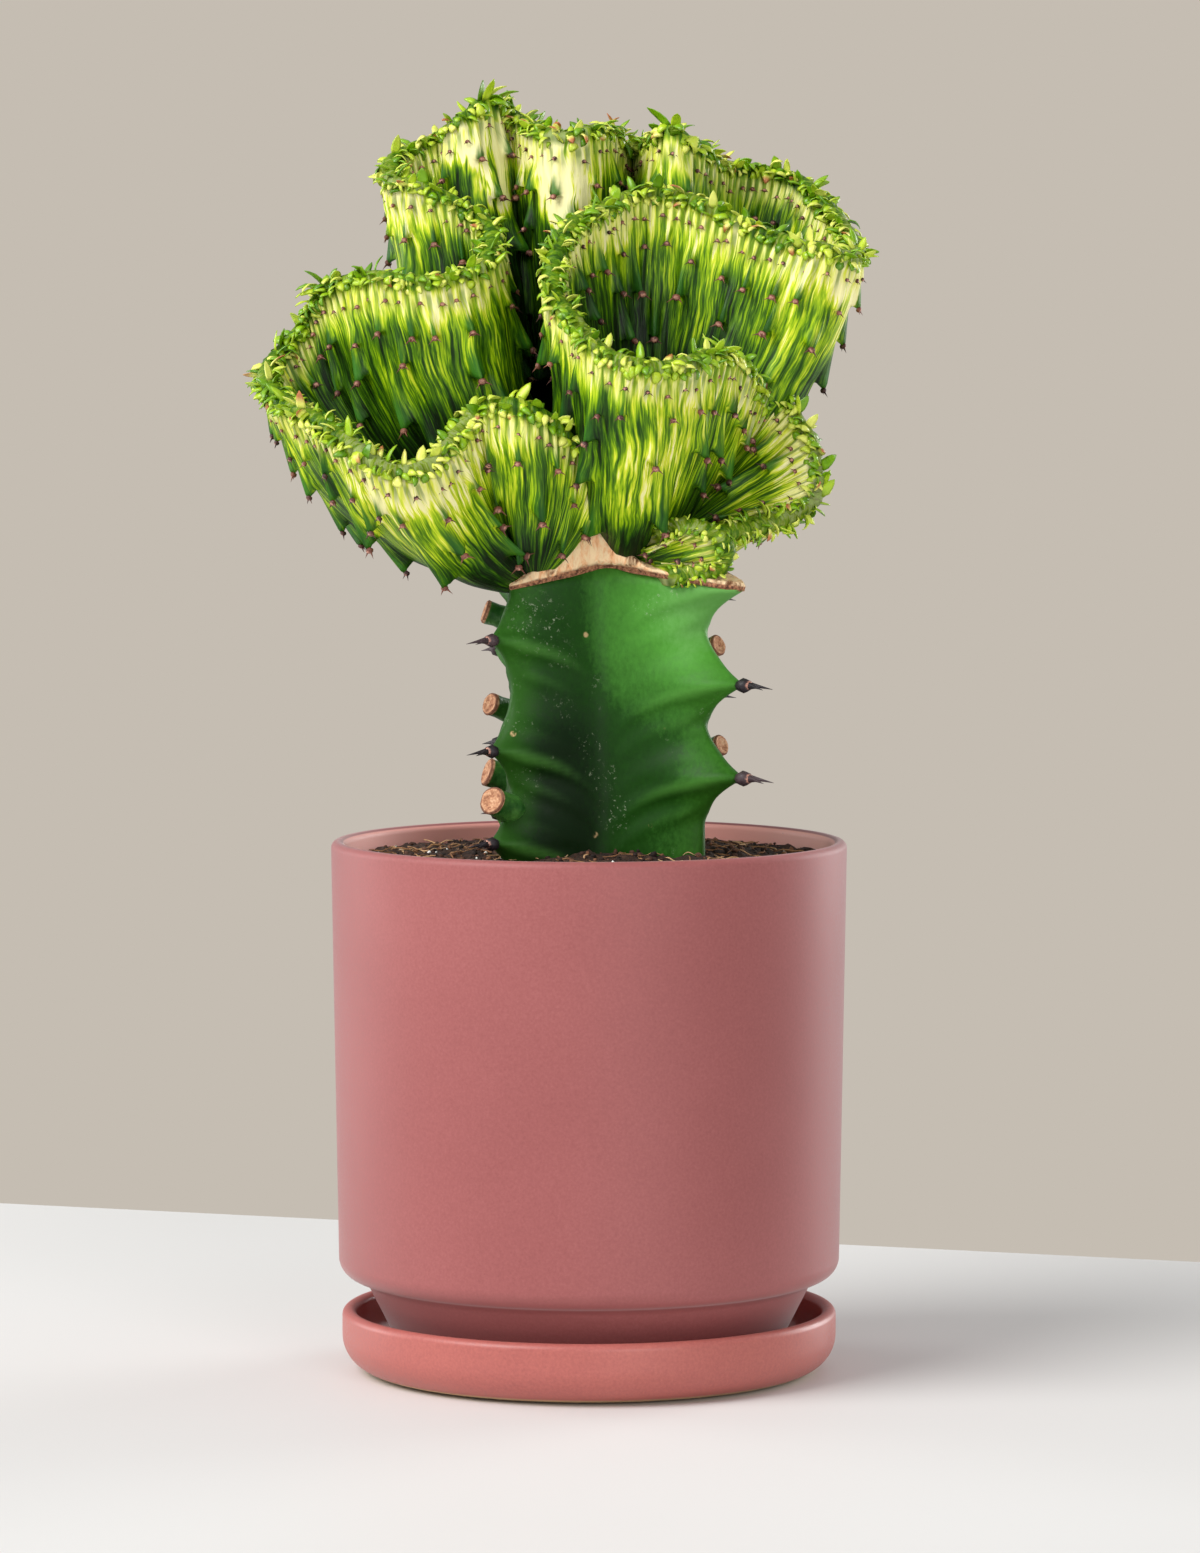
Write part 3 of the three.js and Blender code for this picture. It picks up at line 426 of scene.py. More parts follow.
class Sheet:
    """A sheet of the crest on a fine grid: columns along the rim, rows from the rim down."""

    def __init__(self, stretches, trunk_thick, seed):
        self.seed = seed
        self.read(stretches)
        self.place_grid()
        self.set_thickness(trunk_thick)
        self.sides = [self.relief(+1), self.relief(-1)]

    def read(self, stretches):
        """Take the rim, and spread the graft and curl of each stretch over its points."""
        grafts, curls, rims = zip(*stretches)
        self.rim = np.array([point for rim in rims for point in rim]) * MM
        starts = np.cumsum([0] + [len(rim) for rim in rims[:-1]])
        bends = np.arange(len(self.rim))

        def spread(values):
            return stacked(*(np.interp(bends, starts, column) for column in np.array(values).T))

        self.graft = spread(grafts) * MM
        self.curl = np.radians(spread(curls))

    def flow_lines(self, t):
        """Bezier corners of the flow lines at each t, from the graft to the rim."""
        start, end = catmull(self.graft, t), catmull(self.rim, t)
        chord = end - start
        run = np.hypot(chord[:, 0], chord[:, 1])
        climb = np.arctan2(chord[:, 2], run)
        curl = catmull(self.curl, t) * np.cos(climb)[:, None]

        def heading(angle):
            level = np.cos(angle) / run
            return stacked(chord[:, 0] * level, chord[:, 1] * level, np.sin(angle))

        reach = HANDLE * np.linalg.norm(chord, axis=1)[:, None]
        return np.stack([start, start + heading(climb - curl[:, 0]) * reach,
                         end - heading(climb + curl[:, 1]) * reach, end], axis=1)

    def place_grid(self):
        """Lay columns and rows along the flow lines, and find how the sheet lies there."""
        t = np.linspace(0, 1, RIM_SAMPLES)
        spent = passed_along(catmull(self.rim, t))
        count = COLUMNS * round(spent[-1] / (PLEAT * MM))
        self.along = np.linspace(0, spent[-1], count + 1)  # distance along the rim
        lines = self.flow_lines(np.interp(self.along, spent, t))
        rows = [(step * MM, every) for rows, step, every in ROW_ZONES for _ in range(rows)]
        self.stride = [1] + [every for _, every in rows]
        below = np.cumsum([0.0] + [step for step, _ in rows])
        share = np.linspace(0, 1, len(below))
        s = np.linspace(0, 1, LINE_SAMPLES)
        self.below = np.zeros((count + 1, len(below)))  # distance from the rim
        self.length = np.zeros(count + 1)
        place = np.zeros_like(self.below)
        for i, line in enumerate(lines):
            passed = passed_along(bezier(line[None], s[None])[0][0])
            self.length[i] = passed[-1]
            self.below[i] = np.minimum(below, passed[-1] * share)
            self.below[i, -1] = passed[-1]
            place[i] = np.interp(passed[-1] - self.below[i], passed, s)
        self.middle, self.flow = bezier(lines, place)
        step = smoothed(np.gradient(self.middle, axis=0), 2)
        self.spacing = np.linalg.norm(step, axis=2)
        self.normal = unit(smoothed(unit(np.cross(step, self.flow)), 3))
        self.across = unit(np.cross(self.flow, self.normal))

    def set_thickness(self, trunk_thick):
        """Half the thickness to each side, less on the inside of a tight fold."""
        share = np.linspace(0, 1, self.below.shape[1])
        self.full = (RIM_THICK + (trunk_thick - RIM_THICK) * share) * MM / 2
        turn = (np.gradient(self.normal, axis=0) * self.across).sum(2) / self.spacing
        self.half = []
        for side in (1, -1):
            closing = np.maximum(-side * turn, 1.0)
            limit = np.minimum(self.full, FOLD_SHARE / closing)
            tightest = np.min([np.roll(limit, k, axis=0) for k in range(-3, 4)], axis=0)
            self.half.append(np.maximum(smoothed(tightest, 3), THINNEST * MM))

    def relief(self, side):
        """One face of the sheet with its pleats, flutes and tubercles, and where the tubercles are."""
        k = 0 if side == 1 else 1
        half = self.half[k]
        room = np.clip(half / self.full, 0.2, 1)
        below = self.below / MM
        column = np.arange(len(self.along))[:, None]
        each = waves(self.seed + k, column / COLUMNS * 1.7, below / 9) + 0.5
        shortest, longest = PLEAT_REACH
        fade = np.clip((shortest + (longest - shortest) * each - below) / shortest, 0, 1)
        pleats = PLEAT_HEIGHT * MM * np.cos(column * 2 * math.pi / COLUMNS) * fade * (0.35 + 1.3 * each)
        along = self.along[:, None] / MM
        flutes = sum(weight * waves(self.seed + seed + k, along / width, below / length)
                     for weight, width, length, seed in FLUTES)
        flutes = FLUTE_HEIGHT * MM * flutes * np.clip(below / 10, 0.25, 1)
        gather = np.clip(self.spacing / self.spacing[:, :1], 0.25, 1)
        raised = (pleats + flutes * gather) * room
        stand, tip = np.zeros_like(half), np.zeros_like(half)
        studs = []
        random = np.random.default_rng(self.seed + 40 + k)
        for level, row in enumerate(TUBERCLE_ROWS):
            for i, at, size in self.tubercle_places(row, random):
                self.raise_tubercle(i, at, size, row, room, stand, tip)
                studs.append((i, at, level, size))
        face = (self.middle + self.normal * (side * (half + raised + stand))[..., None]
                - self.flow * (DROOP * stand)[..., None])
        return dict(side=side, face=face, tip=tip, studs=studs)

    def tubercle_places(self, row, random):
        """Column, row and size of each tubercle of a row, evenly spaced where they stand."""
        depth, pitch = row[0] * MM, row[1] * MM
        level = int(np.argmin(abs(self.below[len(self.along) // 2] - depth)))
        passed = np.concatenate([[0], np.cumsum(self.spacing[1:, level])])
        count = int(passed[-1] / pitch)
        wanted = (np.arange(count) + 0.5 + random.uniform(-0.24, 0.24, count)) * pitch
        columns = np.interp(wanted, passed, np.arange(len(passed)))
        sizes, shifts = random.uniform(0.75, 1.2, count), random.normal(0, 0.07, count)
        for column, size, shift in zip(columns, sizes, shifts):
            i = int(round(column))
            at = int(np.argmin(abs(self.below[i] - depth * (1 + shift))))
            i -= i % self.stride[at]
            if self.length[i] > depth * 1.25 + 3 * MM and 0 < at < self.below.shape[1] - 4:
                yield i, at, size

    def raise_tubercle(self, i, at, size, row, room, stand, tip):
        """Raise a long ramp down the flow that ends in a blunt tip with a short underside."""
        height, half_width, ramp = (value * size * MM for value in row[2:])
        columns, rows_above, rows_below = TUBERCLE_COVERS
        reach = int(min(columns, half_width / self.spacing[i, at] + 1))
        first, last = max(0, i - reach), min(len(self.along), i + reach + 1)
        window = np.s_[first:last, max(0, at - rows_above):at + rows_below]
        drop = self.below[window] - self.below[i, at]
        above = np.clip(1 + drop / ramp, 0, 1) ** 1.5
        rise = np.where(drop < 0, above, np.clip(1 - drop / (TUBERCLE_UNDER * ramp), 0, 1))
        narrow = half_width * (1 - 0.2 * rise)
        aside = abs(np.arange(first, last) - i)[:, None] * self.spacing[i, at]
        lift = height * rise * np.clip(1 - aside / narrow, 0, 1) ** 1.2 * room[window]
        lift = np.minimum(lift, TUBERCLE_BLUNT * height)
        stand[window] = np.maximum(stand[window], lift)
        tip[window] = np.maximum(tip[window], (lift / (row[2] * MM)) * min(1, row[2] / TUBERCLE_GREEN))


def strip(upper, lower):
    """Triangles between a row and the next one down, which may keep only every second column."""
    if len(upper) == len(lower):
        return np.concatenate([stacked(upper[:-1], lower[:-1], lower[1:]),
                               stacked(upper[:-1], lower[1:], upper[1:])])
    return np.concatenate([stacked(upper[:-2:2], lower[:-1], upper[1::2]),
                           stacked(lower[:-1], lower[1:], upper[1::2]),
                           stacked(upper[1::2], lower[1:], upper[2::2])])


def sheet_piece(sheet, name, material, replaces=()):
    """The closed mesh of a sheet: two faces that meet in a rounded rim, two ends and a foot."""
    everyone = np.arange(len(sheet.along))
    points, facts = [], []

    def add_row(side, columns, places, tip=0, below=0):
        start = sum(len(part) for part in points)
        points.append(places)
        facts.append(stacked(sheet.along[columns] * CENTIMETRES, below * CENTIMETRES, side * 0.5, tip))
        return start + np.arange(len(columns))

    rim = sheet.middle[:, 0]
    rise = sheet.flow[:, 0] * RIM_ROUND * MM
    crown = add_row(0, everyone, rim + rise)
    chains = {}
    for face in sheet.sides:
        side, places = face["side"], face["face"]
        shoulder = rim + RIM_SHOULDER.width * (places[:, 0] - rim) + RIM_SHOULDER.rise * rise
        chains[side] = [add_row(side, everyone, shoulder)]
        for level, every in enumerate(sheet.stride):
            columns = everyone[::every]
            chains[side].append(add_row(side, columns, places[columns, level], face["tip"][columns, level],
                                        sheet.below[columns, level]))
    triangles = []
    for side, chain in chains.items():
        for upper, lower in zip([crown] + chain, chain):
            triangles.append(strip(upper, lower)[:, ::side])
    front, back = chains[1], chains[-1]
    for upper, lower, a, b in zip(front, front[1:], back, back[1:]):
        triangles.append([[upper[0], a[0], b[0]], [upper[0], b[0], lower[0]],
                          [upper[-1], b[-1], a[-1]], [upper[-1], lower[-1], b[-1]]])
    left, right = front[0], back[0]
    triangles.append([[crown[0], right[0], left[0]], [crown[-1], left[-1], right[-1]]])
    left, right = front[-1], back[-1]
    triangles += [stacked(left[:-1], right[:-1], right[1:]), stacked(left[:-1], right[1:], left[1:])]
    facts = np.concatenate(facts)
    piece(name, np.concatenate(points), np.concatenate(triangles), material, "crest_skin", replaces,
          flow=facts[:, :3], tip=facts[:, 3])


def leaflets(sheet, random, scale):
    """Little curled fleshy blades that crowd the rim, leaning to either side and along it."""
    form, spread = LEAFLET_FORM, LEAFLET_SPREAD
    pitch, length, half, thick, sunk = (value * MM for value in vars(LEAFLET).values())
    count = int(sheet.along[-1] / pitch)
    each = (count, 1)
    place = (np.arange(count) + random.uniform(-spread.place, spread.place, count)) * pitch
    column = np.clip(np.searchsorted(sheet.along, place), 2, len(sheet.along) - 3)
    lane = np.resize(LEAFLET_LANES, each) + random.uniform(-spread.lane, spread.lane, each)
    root, up = sheet.middle[column, 0], sheet.flow[column, 0]
    out, aside = sheet.normal[column, 0], sheet.across[column, 0]
    size = scale * random.uniform(*spread.size, each) * (1.1 - 0.22 * abs(lane))
    for middle, reach, longer in TUFTS:
        away = np.linalg.norm(root / MM - middle, axis=1, keepdims=True) / reach
        size += longer * np.clip(1 - away, 0, 1) * random.uniform(*spread.tuft, each)
    round_turn = lane * form.round
    rise = np.cos(round_turn) * RIM_ROUND - 0.5 - 0.8 * np.clip(abs(lane) - 1, 0, 1)
    root = root + (out * np.sin(round_turn) * RIM_THICK / 2 + up * rise) * MM
    lean = unit(up + out * form.lean * lane + aside * random.normal(0, spread.sway, each))
    outward = np.where(lane >= 0, out, -out)
    across = unit(np.cross(lean, outward + spread.twist * aside * random.normal(0, 1, each)))
    bend_to = np.cross(across, lean)
    curl = random.normal(*spread.curl, each)
    half = half * (0.55 + 0.45 * size) * random.uniform(*spread.width, each)
    points = []
    centre, reached = root - lean * sunk, 0
    for step, width in LEAFLET_STEPS:
        angle = curl * step * form.bend
        heading = lean * np.cos(angle) + bend_to * np.sin(angle)
        centre = centre + heading * (step - reached) * length * size
        reached = step
        face = bend_to * np.cos(angle) - lean * np.sin(angle)
        cup = face * form.cup * half * width
        depth = thick * (1 - form.taper * step)
        for sideways, deep in LEAFLET_SECTION:
            edge = across * half * width * sideways
            points.append(centre + edge + face * deep * depth + cup * abs(sideways))
    around = len(LEAFLET_SECTION)
    points = np.stack(points, 1).reshape(count, -1, around, 3)
    _, triangles = lofted(points[0])
    ends = np.stack([points[:, 0].mean(1), points[:, -1].mean(1)], 1)
    corners = np.concatenate([points.reshape(count, -1, 3), ends], 1)
    share = np.concatenate([np.repeat([step for step, _ in LEAFLET_STEPS], around), [0, 1]])
    return corners, triangles, stacked(share, random.uniform(0, 1, each), 0)


def horn_shape(horn):
    """Points, triangles and tones of a shield with two spines: across, down the flow, outwards."""
    turn = turns(8)
    wide, long = HORN_OVAL
    shield = lofted([stacked(r * wide * np.cos(turn), r * long * np.sin(turn), z) for r, z in horn.rings])
    parts = [shield]
    tones = [np.repeat(HORN_TONES.shield, len(turn)), [0, 1.0]]
    for way in (-1, 1):
        mirror = (way, 1, 1)
        start, heading = np.array(horn.start) * mirror, np.array(horn.heading) * mirror
        turn = turns(5) * way
        ring = stacked(np.cos(turn) * 0.6, np.sin(turn), -way * np.cos(turn) * 0.75)
        needle = lofted([start + heading * step + np.array([0, 1, 0.5]) * horn.bend * step * step
                         + radius * ring for step, radius in horn.steps])
        parts.append(needle)
        tones.append(np.full(len(needle[0]), HORN_TONES.spine))
    starts = np.cumsum([0] + [len(corners) for corners, _ in parts[:-1]])
    triangles = [faces + start for (_, faces), start in zip(parts, starts)]
    return np.concatenate([corners for corners, _ in parts]), np.concatenate(triangles), np.concatenate(tones)


def studs(sheet, random):
    """Shields with their pairs of spines on the tips of all the sheet's tubercles."""
    shape, triangles, tones = horn_shape(CREST_HORN)
    bodies, facts = [], []
    for face in sheet.sides:
        for i, at, level, size in face["studs"]:
            out = sheet.normal[i, at] * face["side"]
            down = -sheet.flow[i, at]
            out = unit(out + STUD.tilt * down + random.normal(0, STUD.scatter, 3))
            across = unit(np.cross(down, out))
            down = np.cross(out, across)
            radius = min(STUD.least + STUD.growth * level, STUD.most) * (0.6 + 0.4 * size) * MM
            corner = shape * (1, 1, random.uniform(*STUD.tall)) * radius
            place = face["face"][i, at] - out * STUD.sunk * MM
            bodies.append(place + corner @ [across, down, out])
            facts.append(stacked(tones, random.random(), 0))
    return np.array(bodies), triangles, np.array(facts)


def heart(material):
    """The ribbed heart under the folds, painted like a sheet far below its rim: dark, partly painted shade.
    """
    share = np.linspace(0, 1, CORE.levels)[:, None]
    turn = turns(CORE.around)
    radius = np.interp(share, *CORE_RADII) * (1 + CORE.rib * np.cos(turn * CORE.ribs) * (1 - share**3))
    rings = stacked(CORE.x + radius * np.cos(turn), CORE.y + CORE.flat * radius * np.sin(turn),
                    CORE.low + (CORE.high - CORE.low) * share)
    points, triangles = lofted(rings * MM)
    flow = stacked(np.arctan2(points[:, 1], points[:, 0]) * 1.8, 9 - (points[:, 2] - 0.2) * 20, 0)
    piece("crest_heart", points, triangles, material, "crest_skin", flow=flow, tip=np.zeros(len(points)))


def crest(materials):
    """The sheets, then all their leaflets as one piece and all their spines as another."""
    sheets = {
        "crest_folds": Sheet(CREST_RIM, trunk_thick=9, seed=3),
        "crest_side_fan": Sheet(SIDE_FAN, trunk_thick=3.6, seed=17),
        "crest_back_frill": Sheet(BACK_FRILL, trunk_thick=8, seed=23),
    }
    random = np.random.default_rng(71)
    blades, spines = [], []
    for name, sheet in sheets.items():
        sheet_piece(sheet, name, materials["skin"], ("crest",) if name == "crest_folds" else ())
        blades.append(leaflets(sheet, random, LEAFLET_SCALE.get(name, 1)))
        spines.append(studs(sheet, random))
    for name, finish, rows in (("crest_leaflets", "leaflet", blades), ("crest_spines", "spine", spines)):
        corners, triangles, facts = zip(*rows)
        points, triangles = gathered(np.concatenate(corners), triangles[0])
        facts = np.concatenate(facts).reshape(-1, 3)
        piece(name, points, triangles, materials[finish], "crest_skin", grain=facts)
    heart(materials["skin"])


# Rootstock

def tooth_rise(ridge, z):
    """How far the teeth of a ridge stand out at each height."""
    away = [np.where(z > at, (z - at) / TOOTH.above, (at - z) / TOOTH.below) for at in ridge.teeth]
    tooth = np.max([np.clip(1 - one, 0, 1) ** TOOTH.power for one in away], axis=0)
    return ridge.reach * np.where(z > STOCK.ground, tooth, 0)


def ridge_share(aside):
    """How much of a ridge is left at a share of the way from its line to the middle of its face."""
    return 1 - np.sin(aside * math.pi / 2) ** RIDGE_POWER


def arched(share):
    """How far the cut top of the stem stands above its corners, where so much of a ridge is left."""
    return (1 - share) * (STOCK.crown - STOCK.corner) * STOCK.arch


def ridge_point(ridge, z, beside):
    """A point at a height, so far outside the line of a ridge."""
    turn, radius = math.radians(ridge.turn), STOCK.ridge + tooth_rise(ridge, z) + beside
    return circled(radius, turn, z, STOCK.x, STOCK.y)


def creases(ridge, offset, z):
    """Soft folds that run from the teeth down into the hollow face."""
    aside = abs(offset) / HALF_FACE * FACE_REACH
    fade = np.clip(1 - aside / FACE_REACH, 0, 1) * np.clip(aside / CREASE.start, 0, 1)
    drop = (CREASE.slope + CREASE.steeper * aside) * aside
    return sum(weight * np.exp(-((z - (at + shift - drop)) / CREASE.width) ** 2) * fade
               for at in ridge.teeth for shift, weight in CREASE_STARTS)


def rootstock(material):
    """The four-angled stem, one ridge with half a face to each side after the other."""
    rows = np.arange(MESH_FROM, STOCK.corner, 1.0)
    z = np.concatenate([[STOCK.sole], rows, [STOCK.corner]])[:, None]
    offsets = np.concatenate([[-HALF_FACE], -np.array(MESH_TURNS[::-1]), MESH_TURNS])
    share = ridge_share(np.hypot(offsets, RIDGE_ROUND) / math.hypot(HALF_FACE, RIDGE_ROUND))
    rings, facts = [], []
    for ridge in RIDGES:
        crease = creases(ridge, offsets, z)
        wave = waves(ridge.turn, z / UNEVEN.height, offsets / UNEVEN.turn)
        radius = STOCK.face + (STOCK.ridge - STOCK.face) * share
        radius = radius + tooth_rise(ridge, z) * share**TOOTH.narrow + CREASE.rise * crease
        radius = radius + UNEVEN.rise * wave * (share < UNEVEN.until)
        lift = np.zeros_like(radius)
        lift[-1] = arched(share)
        turn = np.radians(ridge.turn + offsets)
        rings.append(circled(radius, turn, z + lift, STOCK.x, STOCK.y))
        facts.append(stacked(share, crease, 0))
    ends = [np.array([STOCK.x, STOCK.y, height]) * MM for height in (STOCK.sole, STOCK.crown)]
    points, triangles = lofted(np.concatenate(rings, axis=1) * MM, *ends)
    facts = np.concatenate([np.concatenate(facts, axis=1).reshape(-1, 3), np.zeros((2, 3))])
    piece("stem", points, triangles, material, "stem_skin", ("rootstock",), ridge=facts)


def stem_thorns(material):
    """Horny shields with pairs of spines on the teeth of the stem."""
    shape, triangles, tones = horn_shape(STEM_HORN)
    random = np.random.default_rng(12)
    bodies, facts = [], []
    for ridge in RIDGES:
        turn = math.radians(ridge.turn + ridge.spines_aside)
        out = unit(np.array([math.cos(turn), math.sin(turn), THORN.tilt]))
        across = np.array([-math.sin(turn), math.cos(turn), 0])
        down = np.cross(out, across)
        down = down * (-1 if down[2] > 0 else 1)
        for at in [tooth for tooth in ridge.teeth if tooth < STOCK.corner - SPINE_CUT_OFF]:
            corner = shape * THORN.size * random.uniform(*THORN.spread)
            bodies.append(ridge_point(ridge, at, -THORN.sunk) + corner @ [across, down, out])
            facts.append(stacked(tones, random.random(), 0))
    scattered("stem_thorns", bodies, triangles, material, "stem_skin", facts)


def cut_stubs(material):
    """Side shoots that were cut off, with corky ends."""
    bodies, facts = [], []
    turn = turns(STUB.around)[:, None]
    tone = np.concatenate([np.repeat([corky for _, _, corky in STUB_PROFILE], STUB.around), [0, 0.6]])
    for ridge in RIDGES:
        for k, (at, way, size) in enumerate(ridge.stubs):
            way = math.radians(way)
            out = unit(np.array([math.cos(way), math.sin(way), STUB.climb]))
            across = unit(np.cross([0, 0, 1], out))
            up = np.cross(out, across)
            place = ridge_point(ridge, at, STUB.out)
            rings = []
            for along, radius, _ in STUB_PROFILE:
                lumps = waves(round(at), np.cos(turn) * 2, np.sin(turn) * 2 + along)
                uneven = size * radius * (1 + STUB.uneven * lumps)
                rings.append(place + out * along + uneven * (np.cos(turn) * across + np.sin(turn) * up))
            points, triangles = lofted(rings)
            bodies.append(points)
            facts.append(stacked(tone, k * 0.3, 0))
    scattered("cut_shoots", bodies, triangles, material, "stem_skin", facts)


# Callus over the graft

def cut_edge(turn):
    """Radius and height of the edge of the stem's cut top, at turns in degrees."""
    radius, share = np.full_like(turn, STOCK.face), np.zeros_like(turn)
    for ridge in RIDGES:
        aside = abs((turn - ridge.turn + 540) % 360 - 180)
        here = ridge_share(np.clip(aside / HALF_FACE, 0, 1))
        reach = STOCK.ridge + tooth_rise(ridge, STOCK.corner) - STOCK.face
        radius = np.where(here > share, STOCK.face + reach * here, radius)
        share = np.maximum(share, here)
    return radius, STOCK.corner + arched(share)


def callus_peak(x, y):
    """How much higher the callus stands where it heaps up in front."""
    return CALLUS.peak * np.exp(-((x - CALLUS.x) / CALLUS.spread_x) ** 2
                                   - ((y - CALLUS.y) / CALLUS.spread_y) ** 2)


def graft_callus(material):
    """A fibrous sill that follows the stem's cut edge and heaps up in front."""
    turn = turns(CALLUS.around)
    edge, height = cut_edge(np.degrees(turn))
    edge = edge + CALLUS.over + CALLUS.ragged * waves(6, turn * 9, 0.5)
    front = CALLUS.bulge * np.exp(-((turn - math.radians(CALLUS.bulge_turn)) / CALLUS.bulge_width) ** 2)
    rings, rises = [], []
    for share, rise, climb in CALLUS_LIP + CALLUS_WALL + CALLUS_TOP:
        radius = (edge + front * np.clip(rise * 2, 0, 1)) * share
        x, y = STOCK.x + radius * np.cos(turn), STOCK.y + radius * np.sin(turn)
        inward = min(share, 1)
        cut = height * inward + STOCK.crown * (1 - inward)
        sill = CALLUS.sill * (0.55 + 0.45 * min(1, 4 * (1 - inward))) * rise
        sill = sill * (1 + 0.5 * waves(7, turn * 6, inward * 4))
        fibre = waves(4, turn * 18, inward * 5) + 0.6 * waves(5, turn * 40, inward * 15)
        peak = callus_peak(x, y)
        rough = CALLUS.rough * fibre * np.clip(peak / 4 + 0.25, 0, 1) * max(rise, 0)
        rings.append(stacked(x, y, cut + sill + peak * climb + rough))
        rises += [rise] * len(turn)
    points, triangles = lofted(np.array(rings) * MM)
    rises = np.array(rises + [0, 1])
    facts = stacked(rises, rises, rises)
    piece("callus", points, triangles, material, "cork", ("graft_callus",), grain=facts)


# Pot, saucer and potting mix

def saucer(material):
    """Turned from the middle of the underside, round the rim, to the middle of the floor."""
    outer, foot, height, floor, wall, heel, cove = vars(SAUCER).values()
    bead = wall / 2
    profile = [
        (0, 0), (foot - 3, 0), (foot, 0),
        *arc(outer - heel, heel + EDGE, heel, -75, 0, 18),
        *arc(outer - bead, height - bead, bead, 0, 180, 14),
        *arc(outer - wall - cove, floor + cove, cove, 0, -90, 10),
        (30, floor), (0, floor),
    ]
    points, triangles = turned(profile, ROUND_STEPS)
    piece("saucer_glazed", points, triangles, material, "saucer_ceramic", ("saucer",))


def pot(material):
    """Turned from the drain hole, under the foot, up the outside and down the inside."""
    (rim, low, height, shoulder, foot_top, foot_bottom,
     wall, floor, heel, cove, recess, drain) = vars(POT).values()
    lip = wall / 2
    base = SAUCER.floor
    bend = shoulder + heel + 0.5  # height at which the wall turns under
    outside = [(low + (rim - low) * share, bend + (height - lip - bend) * share)
               for share in (0.25, 0.5, 0.75)]
    profile = [
        (drain, floor), (drain, base + recess), (foot_bottom - wall - 1.5, base + recess),
        (foot_bottom - wall, base + 0.3), (foot_bottom - wall + EDGE, base),
        (foot_bottom - EDGE, base), (foot_bottom, base + EDGE),
        (foot_top - 0.6, shoulder - 1.6), (foot_top, shoulder - 0.3),
        *arc(low - heel, bend, heel, -80, 0, 14),
        *outside,
        *arc(rim - lip, height - lip, lip, 0, 180, 14),
        *arc(low - wall - cove, shoulder + 2 * cove, cove, 0, -60, 6),
        (foot_top - wall, shoulder + 3), (foot_bottom - wall, floor),
    ]
    points, triangles = turned(profile, ROUND_STEPS, closed=True)
    piece("pot_glazed", points, triangles, material, "pot_ceramic", ("pot",))


def soil_height(x, y):
    """Height of the lumpy mix, mounded round the stem."""
    away = np.hypot(x - STOCK.x, y - STOCK.y) / SOIL.spread
    lumps = sum(height * waves(seed, x / width, y / width) for seed, height, width in LUMPS)
    return SOIL.level + SOIL.mound * np.exp(-(away**4)) + lumps


def soil(material):
    """The mix, from the pot's floor up along its wall, with a lumpy top."""
    turn = turns(SOIL.around)
    wall = POT.rim - POT.wall - 0.5 - SOIL.gap
    foot = POT.foot_bottom - POT.wall - 1
    rings = [circled(radius, turn, height) for radius, height in (
        (foot, POT.floor + 0.3), (foot + 5.2, POT.shoulder + 4),
        (POT.low - POT.wall - 1.4, POT.shoulder + 14), (wall - 0.4, SOIL.edge))]
    for radius in wall * np.linspace(1, 0.015, SOIL.rings):
        x, y = radius * np.cos(turn), radius * np.sin(turn)
        rings.append(stacked(x, y, soil_height(x, y)))
    points, triangles = lofted(np.array(rings) * MM)
    piece("mix", points, triangles, material, "potting_mix", ("soil",))


def pebble():
    shape = bmesh.new()
    bmesh.ops.create_icosphere(shape, subdivisions=1, radius=1)
    points = np.array([v.co for v in shape.verts])
    triangles = np.array([[v.index for v in face.verts] for face in shape.faces])
    shape.free()
    return points, triangles


def open_spots(random, count, area, reach, gap):
    """Random places on the mix, within reach of the pot's axis and clear of the stem."""
    while count:
        x, y = random.uniform(-area, area, 2)
        if math.hypot(x, y) <= reach and math.hypot(x - STOCK.x, y - STOCK.y) >= gap:
            count -= 1
            yield x, y


def crumbs(name, material, count, seed, size, flat):
    """Bits of the potting mix lying on its surface, between the stem and the wall."""
    random = np.random.default_rng(seed)
    shape, triangles = pebble()
    bodies, facts = [], []
    inner = POT.rim - POT.wall - 2.2
    for x, y in open_spots(random, count, inner, inner, STOCK.face - 2):
        radius = size[0] + (size[1] - size[0]) * random.random() ** CRUMB.rare
        stretch = np.array([1.0, random.uniform(*CRUMB.narrow), random.uniform(*flat)]) * radius
        axes = unit(random.normal(0, 1, (3, 3)))  # the first, longest one ends up almost level
        axes[1] = unit(np.cross(axes[0] * [1, 1, 0.35], axes[1]))
        axes[0] = unit(np.cross(axes[1], [0.15, 0.1, 1.0]))
        axes[2] = np.cross(axes[0], axes[1])
        body = shape * (1 + random.uniform(*CRUMB.uneven, (len(shape), 1))) * stretch
        bodies.append(body @ axes + [x, y, soil_height(x, y) + CRUMB.lift * stretch[2]])
        facts.append(np.full((len(shape), 3), random.random()))
    scattered(name, bodies, triangles, material, "potting_mix", facts)


